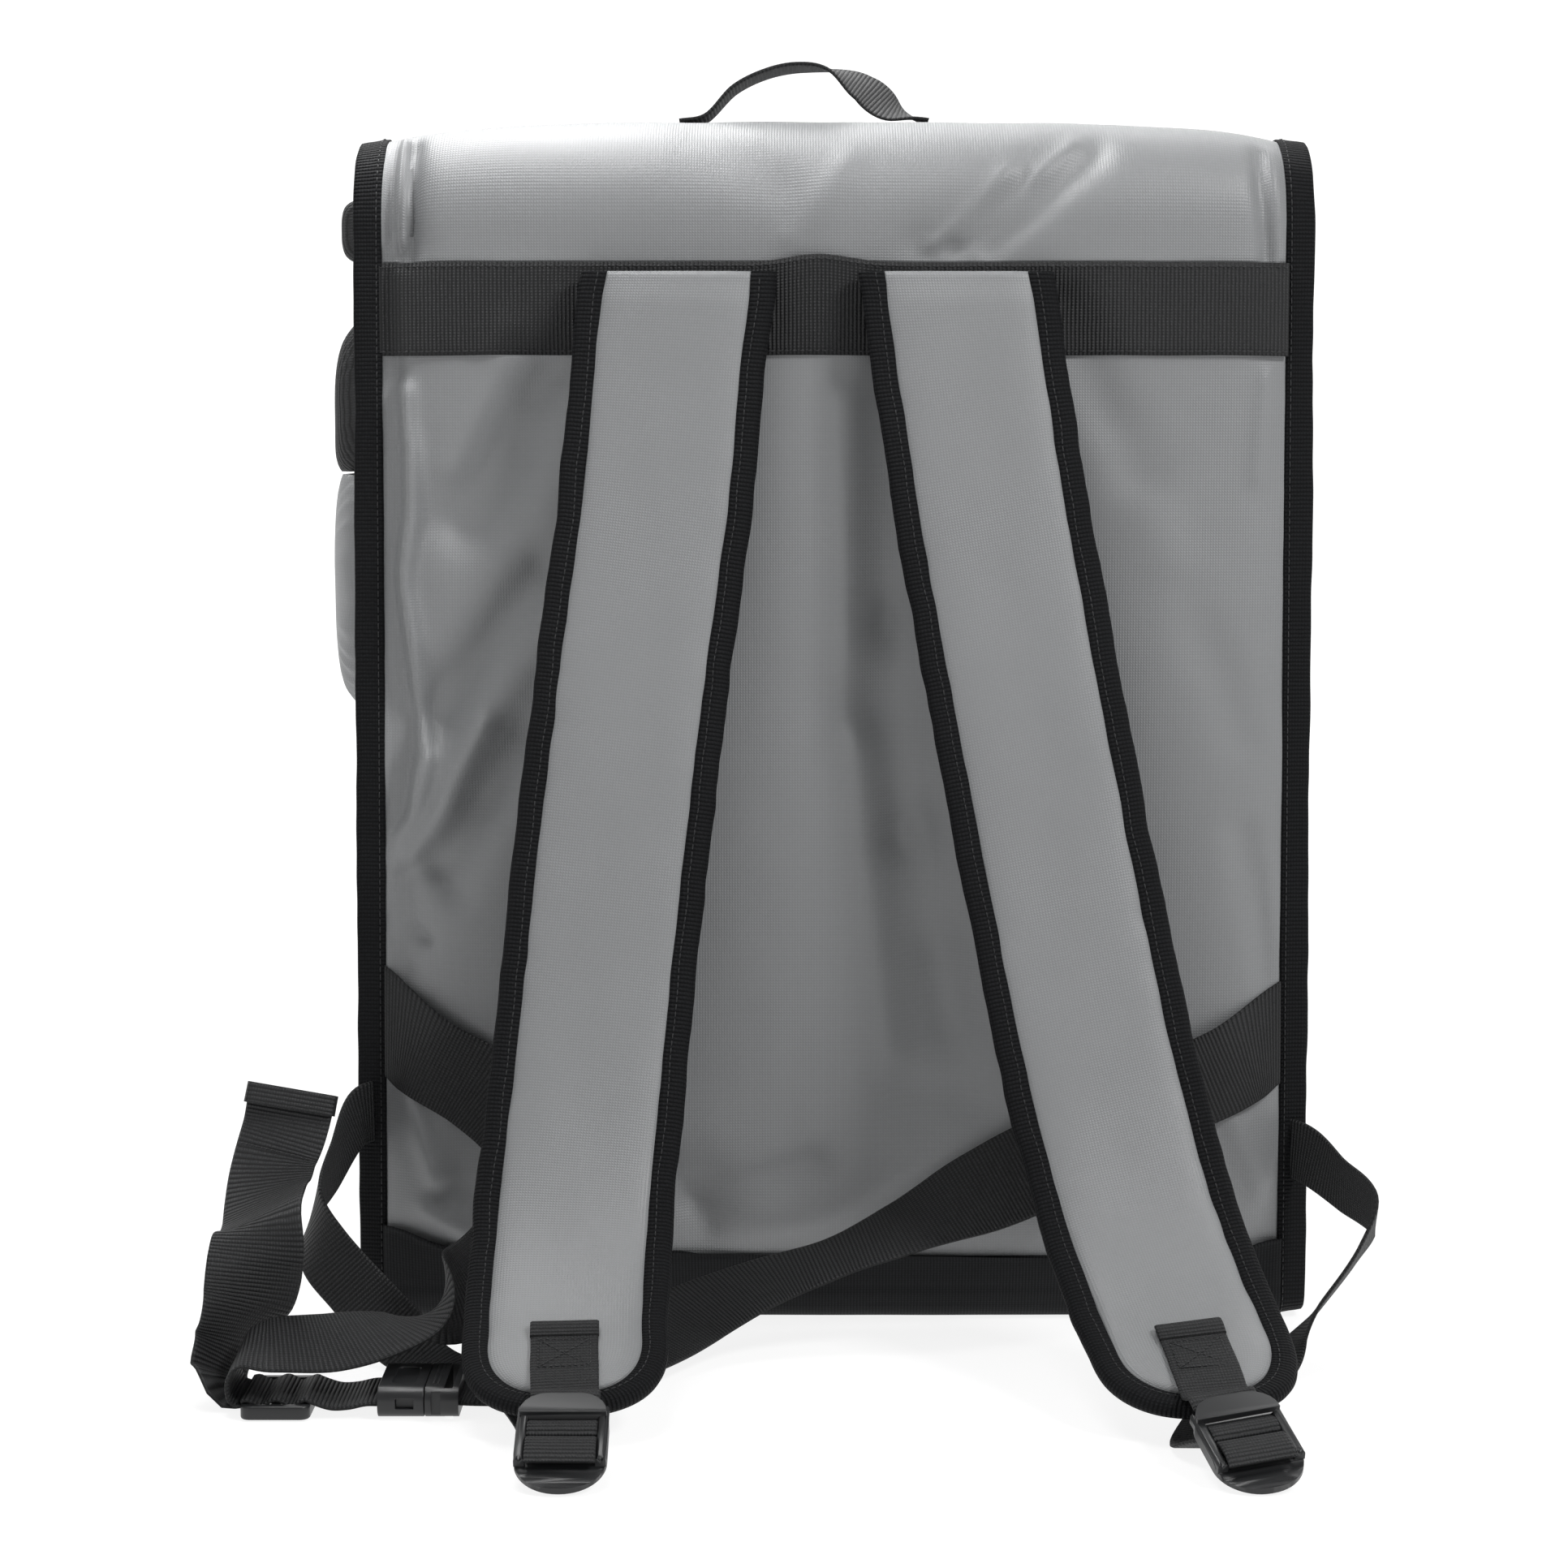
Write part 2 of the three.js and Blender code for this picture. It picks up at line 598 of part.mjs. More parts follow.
function makeStrapTape(surface) {
  const bodyEnd = surface.length - strapTape - softFit - strapEnd;
  const inner = padHalf + softFit;
  const path = [];
  for (let i = 0; i <= 18; i += 1) path.push({ side: -1, s: bodyEnd * i / 18, turn: 0 });
  for (let i = 1; i < 12; i += 1) path.push({ side: 0, turn: Math.PI * i / 12 });
  for (let i = 18; i >= 0; i -= 1) path.push({ side: 1, s: bodyEnd * i / 18, turn: 0 });
  const section = [[0, 1], [0.6, 1], [1, 0.45], [1, -0.45], [0.6, -1], [0, -1]];
  return loft(path.map((place) => section.map(([out, h]) => {
    const wide = inner + out * strapTape;
    const high = h * strapTapeRoll;
    if (place.side !== 0) return surface.at(place.s, place.side * wide, high);
    const c = Math.cos(place.turn);
    const power = 2 / endRound;
    const u = -Math.sign(c) * Math.abs(c) ** power * wide;
    const run = Math.sin(place.turn) ** power * (strapEnd + softFit + out * strapTape);
    return surface.at(bodyEnd + run, u, high);
  })));
}

// The plastic lock under a strap. Its frame has the top bar at the origin, u across and v downwards.
function lockFrame(surface, lean) {
  const end = surface.frame(surface.length);
  const reach = lockLength * 0.91;
  const drop = end.middle.z + lockLift * 6;
  const down = new THREE.Vector3(lean, -reach, -drop).normalize();
  const rise = new THREE.Vector3(end.along.x * lockLead, -lockAhead, lockProp);
  const top = end.middle.clone().add(rise);
  const across = new THREE.Vector3(1, 0, 0).addScaledVector(down, -down.x).normalize();
  const out = new THREE.Vector3().crossVectors(down, across).normalize();
  const foot = top.z + down.z * lockLength - Math.abs(out.z) * lockThick / 2;
  top.z += lockLift - foot;
  return { top, across, down, out };
}

function place(frame, solid) {
  const { top, across, down, out } = frame;
  const handed = new THREE.Matrix4().makeBasis(across, down.clone().negate(), out.clone());
  handed.setPosition(top);
  return solid.transform(handed.elements);
}

const lockBar = 0.2;
const lockTongue = 0.3;

function lockOutline() {
  const w = lockWidth / 2;
  const shape = new THREE.Shape();
  const tongue = lockLength * lockTongue;
  shape.moveTo(-w, -lockLength * lockBar);
  shape.lineTo(-w, -(lockLength - tongue));
  shape.bezierCurveTo(-w, -lockLength, -w * 0.45, -lockLength, 0, -lockLength);
  shape.bezierCurveTo(w * 0.45, -lockLength, w, -lockLength, w, -(lockLength - tongue));
  shape.lineTo(w, -lockLength * lockBar);
  shape.bezierCurveTo(w, -1, w * 0.6, 0, 0, 0);
  shape.bezierCurveTo(-w * 0.6, 0, -w, -1, -w, -lockLength * lockBar);
  return shape;
}

const windowTop = lockLength * 0.24;
const windowFoot = lockLength * 0.66;

function makeLock(frame) {
  const half = lockWidth / 2 - lockRail;
  const options = { depth: lockThick, bevelEnabled: false, curveSegments: 6 };
  const plate = new THREE.ExtrudeGeometry(lockOutline(), options);
  plate.translate(0, 0, -lockThick / 2);
  const window = block(-half, half, -windowFoot, -windowTop, -lockThick, lockThick);
  return place(frame, solidOf(plate).subtract(window));
}

// The webbing's turn up through the lock's window and back, as one thick fold
function makeTurn(frame) {
  const half = Math.min(strapWebbing / 2, lockWidth / 2 - lockRail - fit);
  const top = windowTop + fit;
  const foot = windowFoot - fit;
  const middle = (top + foot) / 2;
  const high = lockThick / 2 + webbingThick;
  const low = lockThick / 2 + fit + webbingThick / 2;
  const rows = [[top, 0.75], [top + 2, 1], [middle - 1, 1], [middle, 0.7], [middle + 1, 0.9], [foot, 0.55]];
  const rings = [-half, half].map((u) => {
    const upper = rows.map(([v, share]) => new THREE.Vector3(u, -v, high * share));
    return [...upper, new THREE.Vector3(u, -foot, -low), new THREE.Vector3(u, -top, -low)];
  });
  return place(frame, loft(rings));
}

// The sewn tab that runs down a strap's face to its lock
function makeTab(surface, frame) {
  const lie = strapThick / 2 + softFit + webbingThick / 2;
  const from = surface.length - tabLength;
  const points = [];
  for (let i = 0; i <= 5; i += 1) points.push(surface.at(from + tabLength * tabSewn * i / 5, 0, lie));
  const stop = frame.top.clone().addScaledVector(frame.down, -fit * 1.5);
  points.push(stop.clone().addScaledVector(frame.down, -tabTurn).addScaledVector(frame.out, fit * 1.5));
  points.push(stop);
  const widths = points.map((_, i) => (i < 6 ? surface.frame(from).across.clone() : frame.across.clone()));
  return ribbon(routeFrames(points, widths, 14), strapWebbing, webbingThick);
}

// The adjusting webbing from the bag's seam, under the strap's end and up through the lock
function makeLowerWebbing(route, frame, steps) {
  const under = lockThick / 2 + webbingThick / 2 + fit;
  const points = route.map(onPanel);
  const widths = route.map((row) => new THREE.Vector3(row.wx, row.wy, row.wz));
  const meet = (v, away) => (
    frame.top.clone().addScaledVector(frame.down, v).addScaledVector(frame.out, -under - away)
  );
  points.push(meet(windowTop, webbingThick * 2), meet(windowFoot - lockRail, 0));
  widths.push(frame.across.clone(), frame.across.clone());
  return ribbon(routeFrames(points, widths, steps), strapWebbing, webbingThick).add(makeTurn(frame));
}

function roundedBlock(length, width, thick, round) {
  const x = length / 2;
  const y = width / 2;
  const shape = new THREE.Shape();
  shape.moveTo(-x + round, -y);
  shape.lineTo(x - round, -y);
  shape.absarc(x - round, -y + round, round, -Math.PI / 2, 0, false);
  shape.lineTo(x, y - round);
  shape.absarc(x - round, y - round, round, 0, Math.PI / 2, false);
  shape.lineTo(-x + round, y);
  shape.absarc(-x + round, y - round, round, Math.PI / 2, Math.PI, false);
  shape.lineTo(-x, -y + round);
  shape.absarc(-x + round, -y + round, round, Math.PI, Math.PI * 1.5, false);
  return { shape, thick };
}

function extruded({ shape, thick }, bevel) {
  const options = {
    depth: thick - 2 * bevel,
    bevelEnabled: bevel > 0,
    bevelThickness: bevel,
    bevelSize: bevel,
    bevelOffset: -bevel,
    bevelSegments: 1,
    curveSegments: 3,
  };
  const geometry = new THREE.ExtrudeGeometry(shape, options);
  geometry.translate(0, 0, bevel);
  return geometry;
}

// The slider and the fastened buckle lie on the floor along one line in front of the bag
const beltEnd = onPanel(leftBeltRoute[leftBeltRoute.length - 1]);
const beltMeet = onPanel(rightBeltRoute[rightBeltRoute.length - 1]);
const sliderMiddle = beltEnd.x + softFit + sliderWidth / 2;
const plugMiddle = beltMeet.x - softFit - plugLength / 2;
const socketMiddle = plugMiddle - plugLength / 2 - fit - socketLength / 2;

function makeSlider() {
  const plate = extruded(roundedBlock(sliderWidth, sliderLength, sliderThick, sliderRound), 0);
  const slotEnd = sliderLength / 2 - sliderRail;
  const slotWidth = (sliderWidth - 3 * sliderRail) / 2;
  let slider = solidOf(plate);
  for (const from of [sliderRail / 2, -sliderRail / 2 - slotWidth]) {
    const to = from + slotWidth;
    slider = slider.subtract(block(from, to, -slotEnd, slotEnd, -sliderThick, 2 * sliderThick));
  }
  return slider.translate([sliderMiddle, beltEnd.y, hardwareLift]);
}

function makeBuckleHalf(middle, length) {
  const body = extruded(roundedBlock(length, buckleWidth, buckleThick, buckleRound), buckleEdge);
  body.translate(middle, beltMeet.y, hardwareLift);
  return solidOf(body);
}

function makeLink() {
  const from = sliderMiddle + sliderWidth / 2 + softFit;
  const to = socketMiddle - socketLength / 2 - softFit;
  const rise = [0.28, 0.28, 0.3, 0.42, 0.42];
  const points = rise.map((share, i) => {
    const along = i / (rise.length - 1);
    return new THREE.Vector3(from + (to - from) * along, beltMeet.y, hardwareLift + buckleThick * share);
  });
  const widths = points.map(() => new THREE.Vector3(0, 1, 0));
  return ribbon(routeFrames(points, widths, 6), hipWebbing, webbingThick);
}

function makeTail() {
  const points = tailRoute.map(onPanel);
  const widths = tailRoute.map((row) => new THREE.Vector3(row.wx, row.wy, row.wz));
  const frames = routeFrames(points, widths, 26);
  const hem = frames.slice(-3);
  const folded = hem[2].middle.distanceTo(hem[0].middle) / hemLength;
  const lower = hem[2].middle.clone().lerp(hem[0].middle, 1 / Math.max(folded, 1));
  const ends = [{ ...hem[2], middle: lower }, hem[2]];
  return ribbon(frames, hipWebbing, webbingThick).add(ribbon(ends, hipWebbing, webbingThick * 3));
}

function lidTop(x) {
  return bodyHeight + topCrown * (1 - Math.abs(2 * x / bodyWidth) ** 4);
}

function makeHandle() {
  const y = -halfDepth + backRoll * 1.35;
  const points = handleRoute.map((row) => {
    const x = row.across * bodyWidth / 2;
    return new THREE.Vector3(x, y, lidTop(x) + fit * 1.5 + webbingThick / 2 + row.rise * handleRise);
  });
  const widths = handleRoute.map((row) => new THREE.Vector3(row.wx, row.wy, 0));
  return ribbon(routeFrames(points, widths, 22), handleWebbing, webbingThick);
}

// A patch that swells out of the left side panel, ring by ring. size: share of its outline,
// out: share of its bulge.
const patchPoints = 16;
const patchSteps = [
  { size: 1, out: 0 },
  { size: 1, out: 0.3 },
  { size: 0.93, out: 0.62 },
  { size: 0.76, out: 0.88 },
  { size: 0.45, out: 1 },
];

function patchForm({ width, height, bulge, base, corner, middle, sag }, inset) {
  const rings = patchSteps.map((step) => {
    const ring = [];
    for (let i = 0; i < patchPoints; i += 1) {
      const angle = 2 * Math.PI * (i + 0.5) / patchPoints;
      const c = Math.cos(angle);
      const s = Math.sin(angle);
      const y = middle + Math.sign(c) * Math.abs(c) ** corner * (width / 2 - inset) * step.size;
      const low = sag * height * (1 - step.size);
      const up = height / 2 + Math.sign(s) * Math.abs(s) ** corner * (height / 2 - inset) * step.size;
      const z = base + up - low;
      const seat = halfWidthAt(z) + sidePillow + fit + inset;
      ring.push(new THREE.Vector3(-(seat + (bulge - 2 * inset) * step.out), y, z));
    }
    return ring;
  });
  return loft(rings);
}

// A patch of cloth with a hollow behind it, cut off at its open ends
function makePatch(sizes, thick, open) {
  const hollow = patchForm(sizes, thick);
  const kept = block(-beyond, beyond, open.y0, open.y1, open.z0, open.z1);
  return patchForm(sizes, 0).subtract(hollow).intersect(kept);
}

// Materials: colour, roughness and metalness of each finish
const finishes = {
  greyTarp: { color: 0x818486, roughness: 0.48, metalness: 0 },
  greyStrap: { color: 0x7d8083, roughness: 0.5, metalness: 0 },
  blackWebbing: { color: 0x24262a, roughness: 0.82, metalness: 0 },
  blackTape: { color: 0x26282b, roughness: 0.8, metalness: 0 },
  blackCloth: { color: 0x1d1e21, roughness: 0.85, metalness: 0 },
  blackPlastic: { color: 0x1b1c1e, roughness: 0.38, metalness: 0 },
};

const backpack = new THREE.Group();

function addPiece(name, finish, solid) {
  const mesh = new THREE.Mesh(geometryOf(solid), new THREE.MeshStandardMaterial(finishes[finish]));
  mesh.name = name;
  backpack.add(mesh);
}

const bag = makeBag();
addPiece('body_shell', 'greyTarp', bag.body);
addPiece('lid', 'greyTarp', bag.lid);
addPiece('base_cover', 'blackCloth', makeCover());
addPiece('top_band', 'blackWebbing', makeTopBand());
addPiece('carry_handle', 'blackWebbing', makeHandle());

// lean: how far the lock points sideways, in millimetres over its length
const sides = [
  { name: 'left', side: -1, lean: 0, steps: 40 },
  { name: 'right', side: 1, lean: 12, steps: 38 },
];
const routes = {
  left: { strap: leftStrapRoute, lower: leftLowerRoute, belt: leftBeltRoute },
  right: { strap: rightStrapRoute, lower: rightLowerRoute, belt: rightBeltRoute },
};

for (const { name, side, lean, steps } of sides) {
  const { strap, lower, belt } = routes[name];
  const surface = strapSurface(strap);
  const frame = lockFrame(surface, lean);
  addPiece(`side_binding_${name}`, 'blackTape', makeSeamTape(side));
  addPiece(`shoulder_strap_${name}`, 'greyStrap', makePad(surface));
  addPiece(`strap_binding_${name}`, 'blackTape', makeStrapTape(surface));
  addPiece(`strap_tab_${name}`, 'blackWebbing', makeTab(surface, frame));
  addPiece(`ladder_lock_${name}`, 'blackPlastic', makeLock(frame));
  addPiece(`lower_webbing_${name}`, 'blackWebbing', makeLowerWebbing(lower, frame, 34));
  addPiece(`hip_belt_${name}`, 'blackWebbing', routeRibbon(belt, hipWebbing, steps));
}

addPiece('belt_slider', 'blackPlastic', makeSlider());
addPiece('belt_link', 'blackWebbing', makeLink());
addPiece('belt_tail', 'blackWebbing', makeTail());
addPiece('buckle_socket', 'blackPlastic', makeBuckleHalf(socketMiddle, socketLength));
addPiece('buckle_plug', 'blackPlastic', makeBuckleHalf(plugMiddle, plugLength));

const patchMiddle = -halfDepth * 0.12;
const tabMiddle = -halfDepth * 0.66;
const sidePocket = {
  width: pocketWidth,
  height: pocketHeight + pocketMouth,
  bulge: pocketBulge,
  base: pocketBase,
  corner: 0.5,
  middle: patchMiddle,
  sag: 0,
};
const pocketTop = pocketBase + pocketHeight;
const flapFoot = pocketTop + fit * 2;
const sideFlap = {
  width: flapTabWidth,
  height: flapTabHeight + flapTabFoot,
  bulge: flapTabBulge,
  base: flapFoot - flapTabFoot,
  corner: 0.6,
  middle: patchMiddle,
  sag: flapTabSag,
};
const sideTab = {
  width: topTabWidth,
  height: topTabHeight,
  bulge: topTabBulge,
  base: rimHeight + fit + topTabRise,
  corner: 0.6,
  middle: tabMiddle,
  sag: 0,
};
const everywhere = { y0: -beyond, y1: beyond, z0: -beyond, z1: beyond };
const belowMouth = { ...everywhere, z1: pocketTop };
const aboveFoot = { ...everywhere, z0: flapFoot };
addPiece('side_pocket_left', 'greyTarp', makePatch(sidePocket, pocketWall, belowMouth));
addPiece('side_flap_left', 'blackWebbing', makePatch(sideFlap, flapTabWall, aboveFoot));
addPiece('side_tab_left', 'blackWebbing', patchForm(sideTab, 0));

export default backpack;
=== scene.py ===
"""Looks of an insulated delivery backpack: padded body with a rolled lid, bound seams, padded
shoulder straps with their locks, hip belt with slider and buckle, handle and side pocket.
All lengths are in metres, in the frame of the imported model. The strap side faces -Y."""
import math

import bmesh
import bpy
import numpy as np
from mathutils import Matrix, Vector, noise


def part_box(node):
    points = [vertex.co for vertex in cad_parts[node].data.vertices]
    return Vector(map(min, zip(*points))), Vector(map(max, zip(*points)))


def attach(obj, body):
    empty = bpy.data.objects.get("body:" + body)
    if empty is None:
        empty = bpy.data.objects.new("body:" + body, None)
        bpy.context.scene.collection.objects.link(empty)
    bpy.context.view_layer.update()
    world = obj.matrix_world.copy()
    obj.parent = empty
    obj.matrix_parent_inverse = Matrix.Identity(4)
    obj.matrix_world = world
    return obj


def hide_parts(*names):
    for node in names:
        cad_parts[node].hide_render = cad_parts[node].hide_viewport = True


bl_info = {
    "name": "Insulated delivery backpack",
    "version": (1, 0, 0),
    "blender": (4, 5, 0),
    "location": "3D View > Sidebar > Backpack",
    "description": "Builds a padded delivery backpack with its straps, webbing and hardware",
    "category": "Add Mesh",
}

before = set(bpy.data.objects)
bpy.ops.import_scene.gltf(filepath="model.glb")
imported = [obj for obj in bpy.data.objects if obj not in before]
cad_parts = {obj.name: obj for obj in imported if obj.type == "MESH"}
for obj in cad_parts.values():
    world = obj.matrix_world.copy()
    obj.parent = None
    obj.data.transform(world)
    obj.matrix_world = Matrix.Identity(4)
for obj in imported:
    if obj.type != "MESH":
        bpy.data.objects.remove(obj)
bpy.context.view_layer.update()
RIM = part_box("body_shell")[1][2]
MM = 0.001


# Sizes and colours that a user would change

def length(name, words, millimetres):
    return bpy.props.FloatProperty(
        name=name, description=words, default=millimetres * MM, min=0.0, unit="LENGTH", precision=5
    )


def colour(name, words, value):
    return bpy.props.FloatVectorProperty(
        name=name, description=words, default=value, size=3, min=0.0, max=1.0, subtype="COLOR"
    )


class BagSizes(bpy.types.PropertyGroup):
    width: length("Width", "Body width between the bound seams", 380)
    flare: length("Foot flare", "How much wider each side is at the foot", 3)
    depth: length("Depth", "Body depth between the seams", 256)
    height: length("Height", "Body height at the seams", 503)
    rim: length("Rim height", "Where the lid starts", RIM / MM)
    wall: length("Wall", "Padded wall thickness", 7)
    back_pillow: length("Back pillow", "How far the strap side swells", 12)
    front_pillow: length("Front pillow", "How far the front swells", 9)
    side_pillow: length("Side pillow", "How far the side panels swell", 6)
    crown: length("Crown", "How far the lid's top swells", 8)
    back_roll: length("Back roll", "Radius of the lid's roll on the strap side", 36)
    front_roll: length("Front roll", "Radius of the lid's roll at the front", 24)
    foot: length("Foot radius", "Radius along the base", 10)
    floor_gap: length("Floor gap", "Height of the body's base over the floor", 2.4)
    fit: length("Fit", "Gap between a piece and its seat", 0.4)
    cover_height: length("Cover height", "Height of the base cover", 33)
    cover_thick: length("Cover thickness", "Thickness of the base cover", 2)
    band: length("Band", "Height of the webbing band", 38)
    tape: length("Seam tape", "How far the seam tape stands out", 9)
    tape_thick: length("Seam tape thickness", "Thickness of the folded seam tape", 2.4)


class StrapSizes(bpy.types.PropertyGroup):
    width: length("Width", "Width of a shoulder strap over its tape", 80)
    thick: length("Thickness", "Thickness of the foam pad", 12)
    tape: length("Tape", "Width of the tape round the strap", 8.6)
    roll: length("Tape roll", "Half the thickness of the strap's tape", 3.7)
    end: length("End", "Length of the strap's rounded end", 34)
    reach: length("Reach", "How far the lower ends stand in front of the bag", 188)
    seat: length("Seat", "Height of a strap's middle over the bag's seam plane at its top", 20.5)
    soft_fit: length("Soft fit", "Gap between soft pieces", 0.8)
    tab: length("Tab", "Length of the sewn tab", 46)


class WebbingSizes(bpy.types.PropertyGroup):
    thick: length("Thickness", "Thickness of the webbing", 1.6)
    hip: length("Hip belt", "Width of the hip belt's webbing", 38)
    strap: length("Adjusters", "Width of the adjusting webbing and tabs", 26)
    handle: length("Handle", "Width of the handle's webbing", 32)
    lie: length("Lie", "Height of the webbing's middle over the panel", 1.4)
    rib: length("Rib", "Distance from rib to rib", 1.7)
    rise: length("Handle rise", "Height of the handle over the lid", 24)


class HardwareSizes(bpy.types.PropertyGroup):
    lock_width: length("Lock width", "Width of a ladder lock", 34)
    lock_length: length("Lock length", "Length of a ladder lock", 47)
    lock_thick: length("Lock thickness", "Thickness of a ladder lock", 4.5)
    lock_rail: length("Lock rail", "Width of a lock's side rails", 3.6)
    slider_rail: length("Slider rail", "Width of the slider's bars", 4)
    buckle_thick: length("Buckle thickness", "Thickness of the buckle", 12)
    lift: length("Lift", "Gap between the hardware and the floor", 0.6)


class Colours(bpy.types.PropertyGroup):
    tarp: colour("Tarpaulin", "Grey coated cloth of the body", (0.214, 0.219, 0.224))
    strap: colour("Strap", "Grey coated cloth of the straps", (0.226, 0.231, 0.236))
    webbing: colour("Webbing", "Black webbing", (0.017, 0.0175, 0.0185))
    tape: colour("Tape", "Black ribbed tape", (0.0072, 0.0075, 0.0084))
    cover: colour("Cover", "Black cloth of the base cover", (0.0095, 0.01, 0.011))
    plastic: colour("Plastic", "Black moulded plastic", (0.012, 0.0125, 0.0135))
    thread: colour("Thread", "Black stitching", (0.012, 0.0125, 0.014))


# Forms of the bag that the pieces share

# Folds of the strap side. Each row runs through two or more places: x as a share of the half width
# and z as a share of the height. Then come spread, a share of the width, and depth, a share of the
# back pillow and less than 0 for a valley.
BACK_FOLDS = [
    # x0, z0, x1, z1, spread, depth
    (-0.69, 0.785, -0.84, 0.69, 0.036, -0.34),
    (-0.66, 0.72, -0.9, 0.53, 0.042, -0.42),
    (-0.66, 0.555, -0.8, 0.46, 0.036, -0.34),
    (0.03, 0.79, 0.07, 0.53, 0.05, -0.34),
    (0.07, 0.53, 0.19, 0.21, 0.05, -0.42),
    (-0.29, 0.17, -0.17, 0.1, 0.05, 0.25),
    (-0.99, 0.42, -0.99, 0.31, 0.04, -0.6),
    (0.56, 0.975, 0.2, 0.91, 0.028, -0.3),
    (-0.94, 0.975, -0.92, 0.91, 0.02, -0.35),
]

FULL = 10  # how squarely a panel swells between its seams
SETTLE = 1.6  # over how many heights of the base cover it reaches its full swell


def smooth(value, low, high):
    share = np.clip((value - low) / (high - low), 0, 1)
    return share * share * (3 - 2 * share)


def half_width(bag, z):
    return bag.width / 2 + bag.flare * (1 - np.clip(z / bag.height, 0, 1))


def fold_depth(bag, x, z, folds):
    """How far the folds of a table move the strap side at x, z."""
    share = x / half_width(bag, z)
    up = z / bag.height
    depth = np.zeros(np.broadcast(x, z).shape)
    for *places, spread, amount in folds:
        corners = list(zip(places[::2], places[1::2]))
        away = np.full(depth.shape, np.inf)
        for (x0, z0), (x1, z1) in zip(corners, corners[1:]):
            run_x = (x1 - x0) * bag.width / 2
            run_z = (z1 - z0) * bag.height
            from_x = (share - x0) * bag.width / 2
            from_z = (up - z0) * bag.height
            along = np.clip((from_x * run_x + from_z * run_z) / (run_x**2 + run_z**2), 0, 1)
            away = np.minimum(away, np.hypot(from_x - along * run_x, from_z - along * run_z))
        depth = depth + amount * bag.back_pillow * np.exp(-((away / (spread * bag.width)) ** 2))
    return depth


def panel_swell(bag, x, z, folds=BACK_FOLDS):
    """Height of the strap side over its seam plane."""
    share = np.clip(np.abs(x) / half_width(bag, z), 0, 1)
    pillow = bag.back_pillow * (1 - share**FULL) * smooth(z, 0, bag.cover_height * SETTLE)
    seam = smooth(1 - share, 0, 0.06)
    return np.maximum(pillow + fold_depth(bag, x, z, folds) * seam, 0)


class Outline:
    """The side outline of the bag, as arrays of places and outward directions."""

    def __init__(self, bag, grow, step):
        half = bag.depth / 2 + grow
        top = bag.height + grow
        foot = bag.floor_gap - grow
        low = max(bag.foot + grow, 2 * MM)
        back = max(bag.back_roll + grow, 2 * MM)
        front = max(bag.front_roll + grow, 2 * MM)
        self.rows = []
        self.arc(-half + low, foot + low, low, math.pi * 1.5, 6, "foot")
        self.run((-half, foot + low), (-half, top - back), step, (-1, 0), "back")
        self.arc(-half + back, top - back, back, math.pi, 18, "roll")
        self.run((-half + back, top), (half - front, top), step * 2, (0, 1), "top")
        self.arc(half - front, top - front, front, math.pi / 2, 10, "front_roll")
        self.run((half, top - front), (half, foot + low), step * 2, (1, 0), "front")
        self.arc(half - low, foot + low, low, 0, 6, "foot")
        self.run((half - low, foot), (-half + low, foot), step * 5, (0, -1), "base")
        self.y, self.z, self.ny, self.nz = (np.array([row[i] for row in self.rows]) for i in range(4))
        self.kind = np.array([row[4] for row in self.rows])
        gaps = np.hypot(np.diff(self.y, append=self.y[0]), np.diff(self.z, append=self.z[0]))
        self.run_length = np.concatenate([[0], np.cumsum(gaps)])

    def arc(self, cy, cz, radius, start, steps, kind):
        for i in range(steps):
            angle = start - (math.pi / 2) * i / steps
            ny, nz = math.cos(angle), math.sin(angle)
            self.rows.append((cy + radius * ny, cz + radius * nz, ny, nz, kind))

    def run(self, first, last, step, out, kind):
        steps = max(round(math.dist(first, last) / step), 1)
        for i in range(steps):
            share = i / steps
            y = first[0] + (last[0] - first[0]) * share
            z = first[1] + (last[1] - first[1]) * share
            self.rows.append((y, z, out[0], out[1], kind))

    def swell(self, bag, share, folds):
        """How far the cloth stands out at each place, for one share of the half width."""
        across = abs(share)
        crown = bag.crown * (1 - across**4) * np.ones(len(self.y))
        pillow = bag.front_pillow * (1 - across**FULL)
        settle = smooth(self.z, 0, bag.cover_height * SETTLE)
        panel = panel_swell(bag, share * half_width(bag, self.z), self.z, folds)
        turn = np.abs(self.ny)
        forms = {
            "back": panel,
            "roll": panel * turn + crown * (1 - turn),
            "top": crown,
            "front_roll": crown * self.nz + pillow * (1 - self.nz),
            "front": pillow * settle,
        }
        out = np.zeros(len(self.y))
        for kind, values in forms.items():
            out = np.where(self.kind == kind, values, out)
        return out


def across_shares(count):
    t = np.linspace(-1, 1, count + 1)
    return 1.25 * t - 0.25 * t**3


# Rings of a side panel, as shares of the way from its edge to its middle, and where it is full
SIDE_INSETS = [0.94, 0.8, 0.66, 0.52, 0.42, 0.34, 0.26, 0.19, 0.13, 0.09, 0.055, 0.025]
SIDE_FULL = 0.52


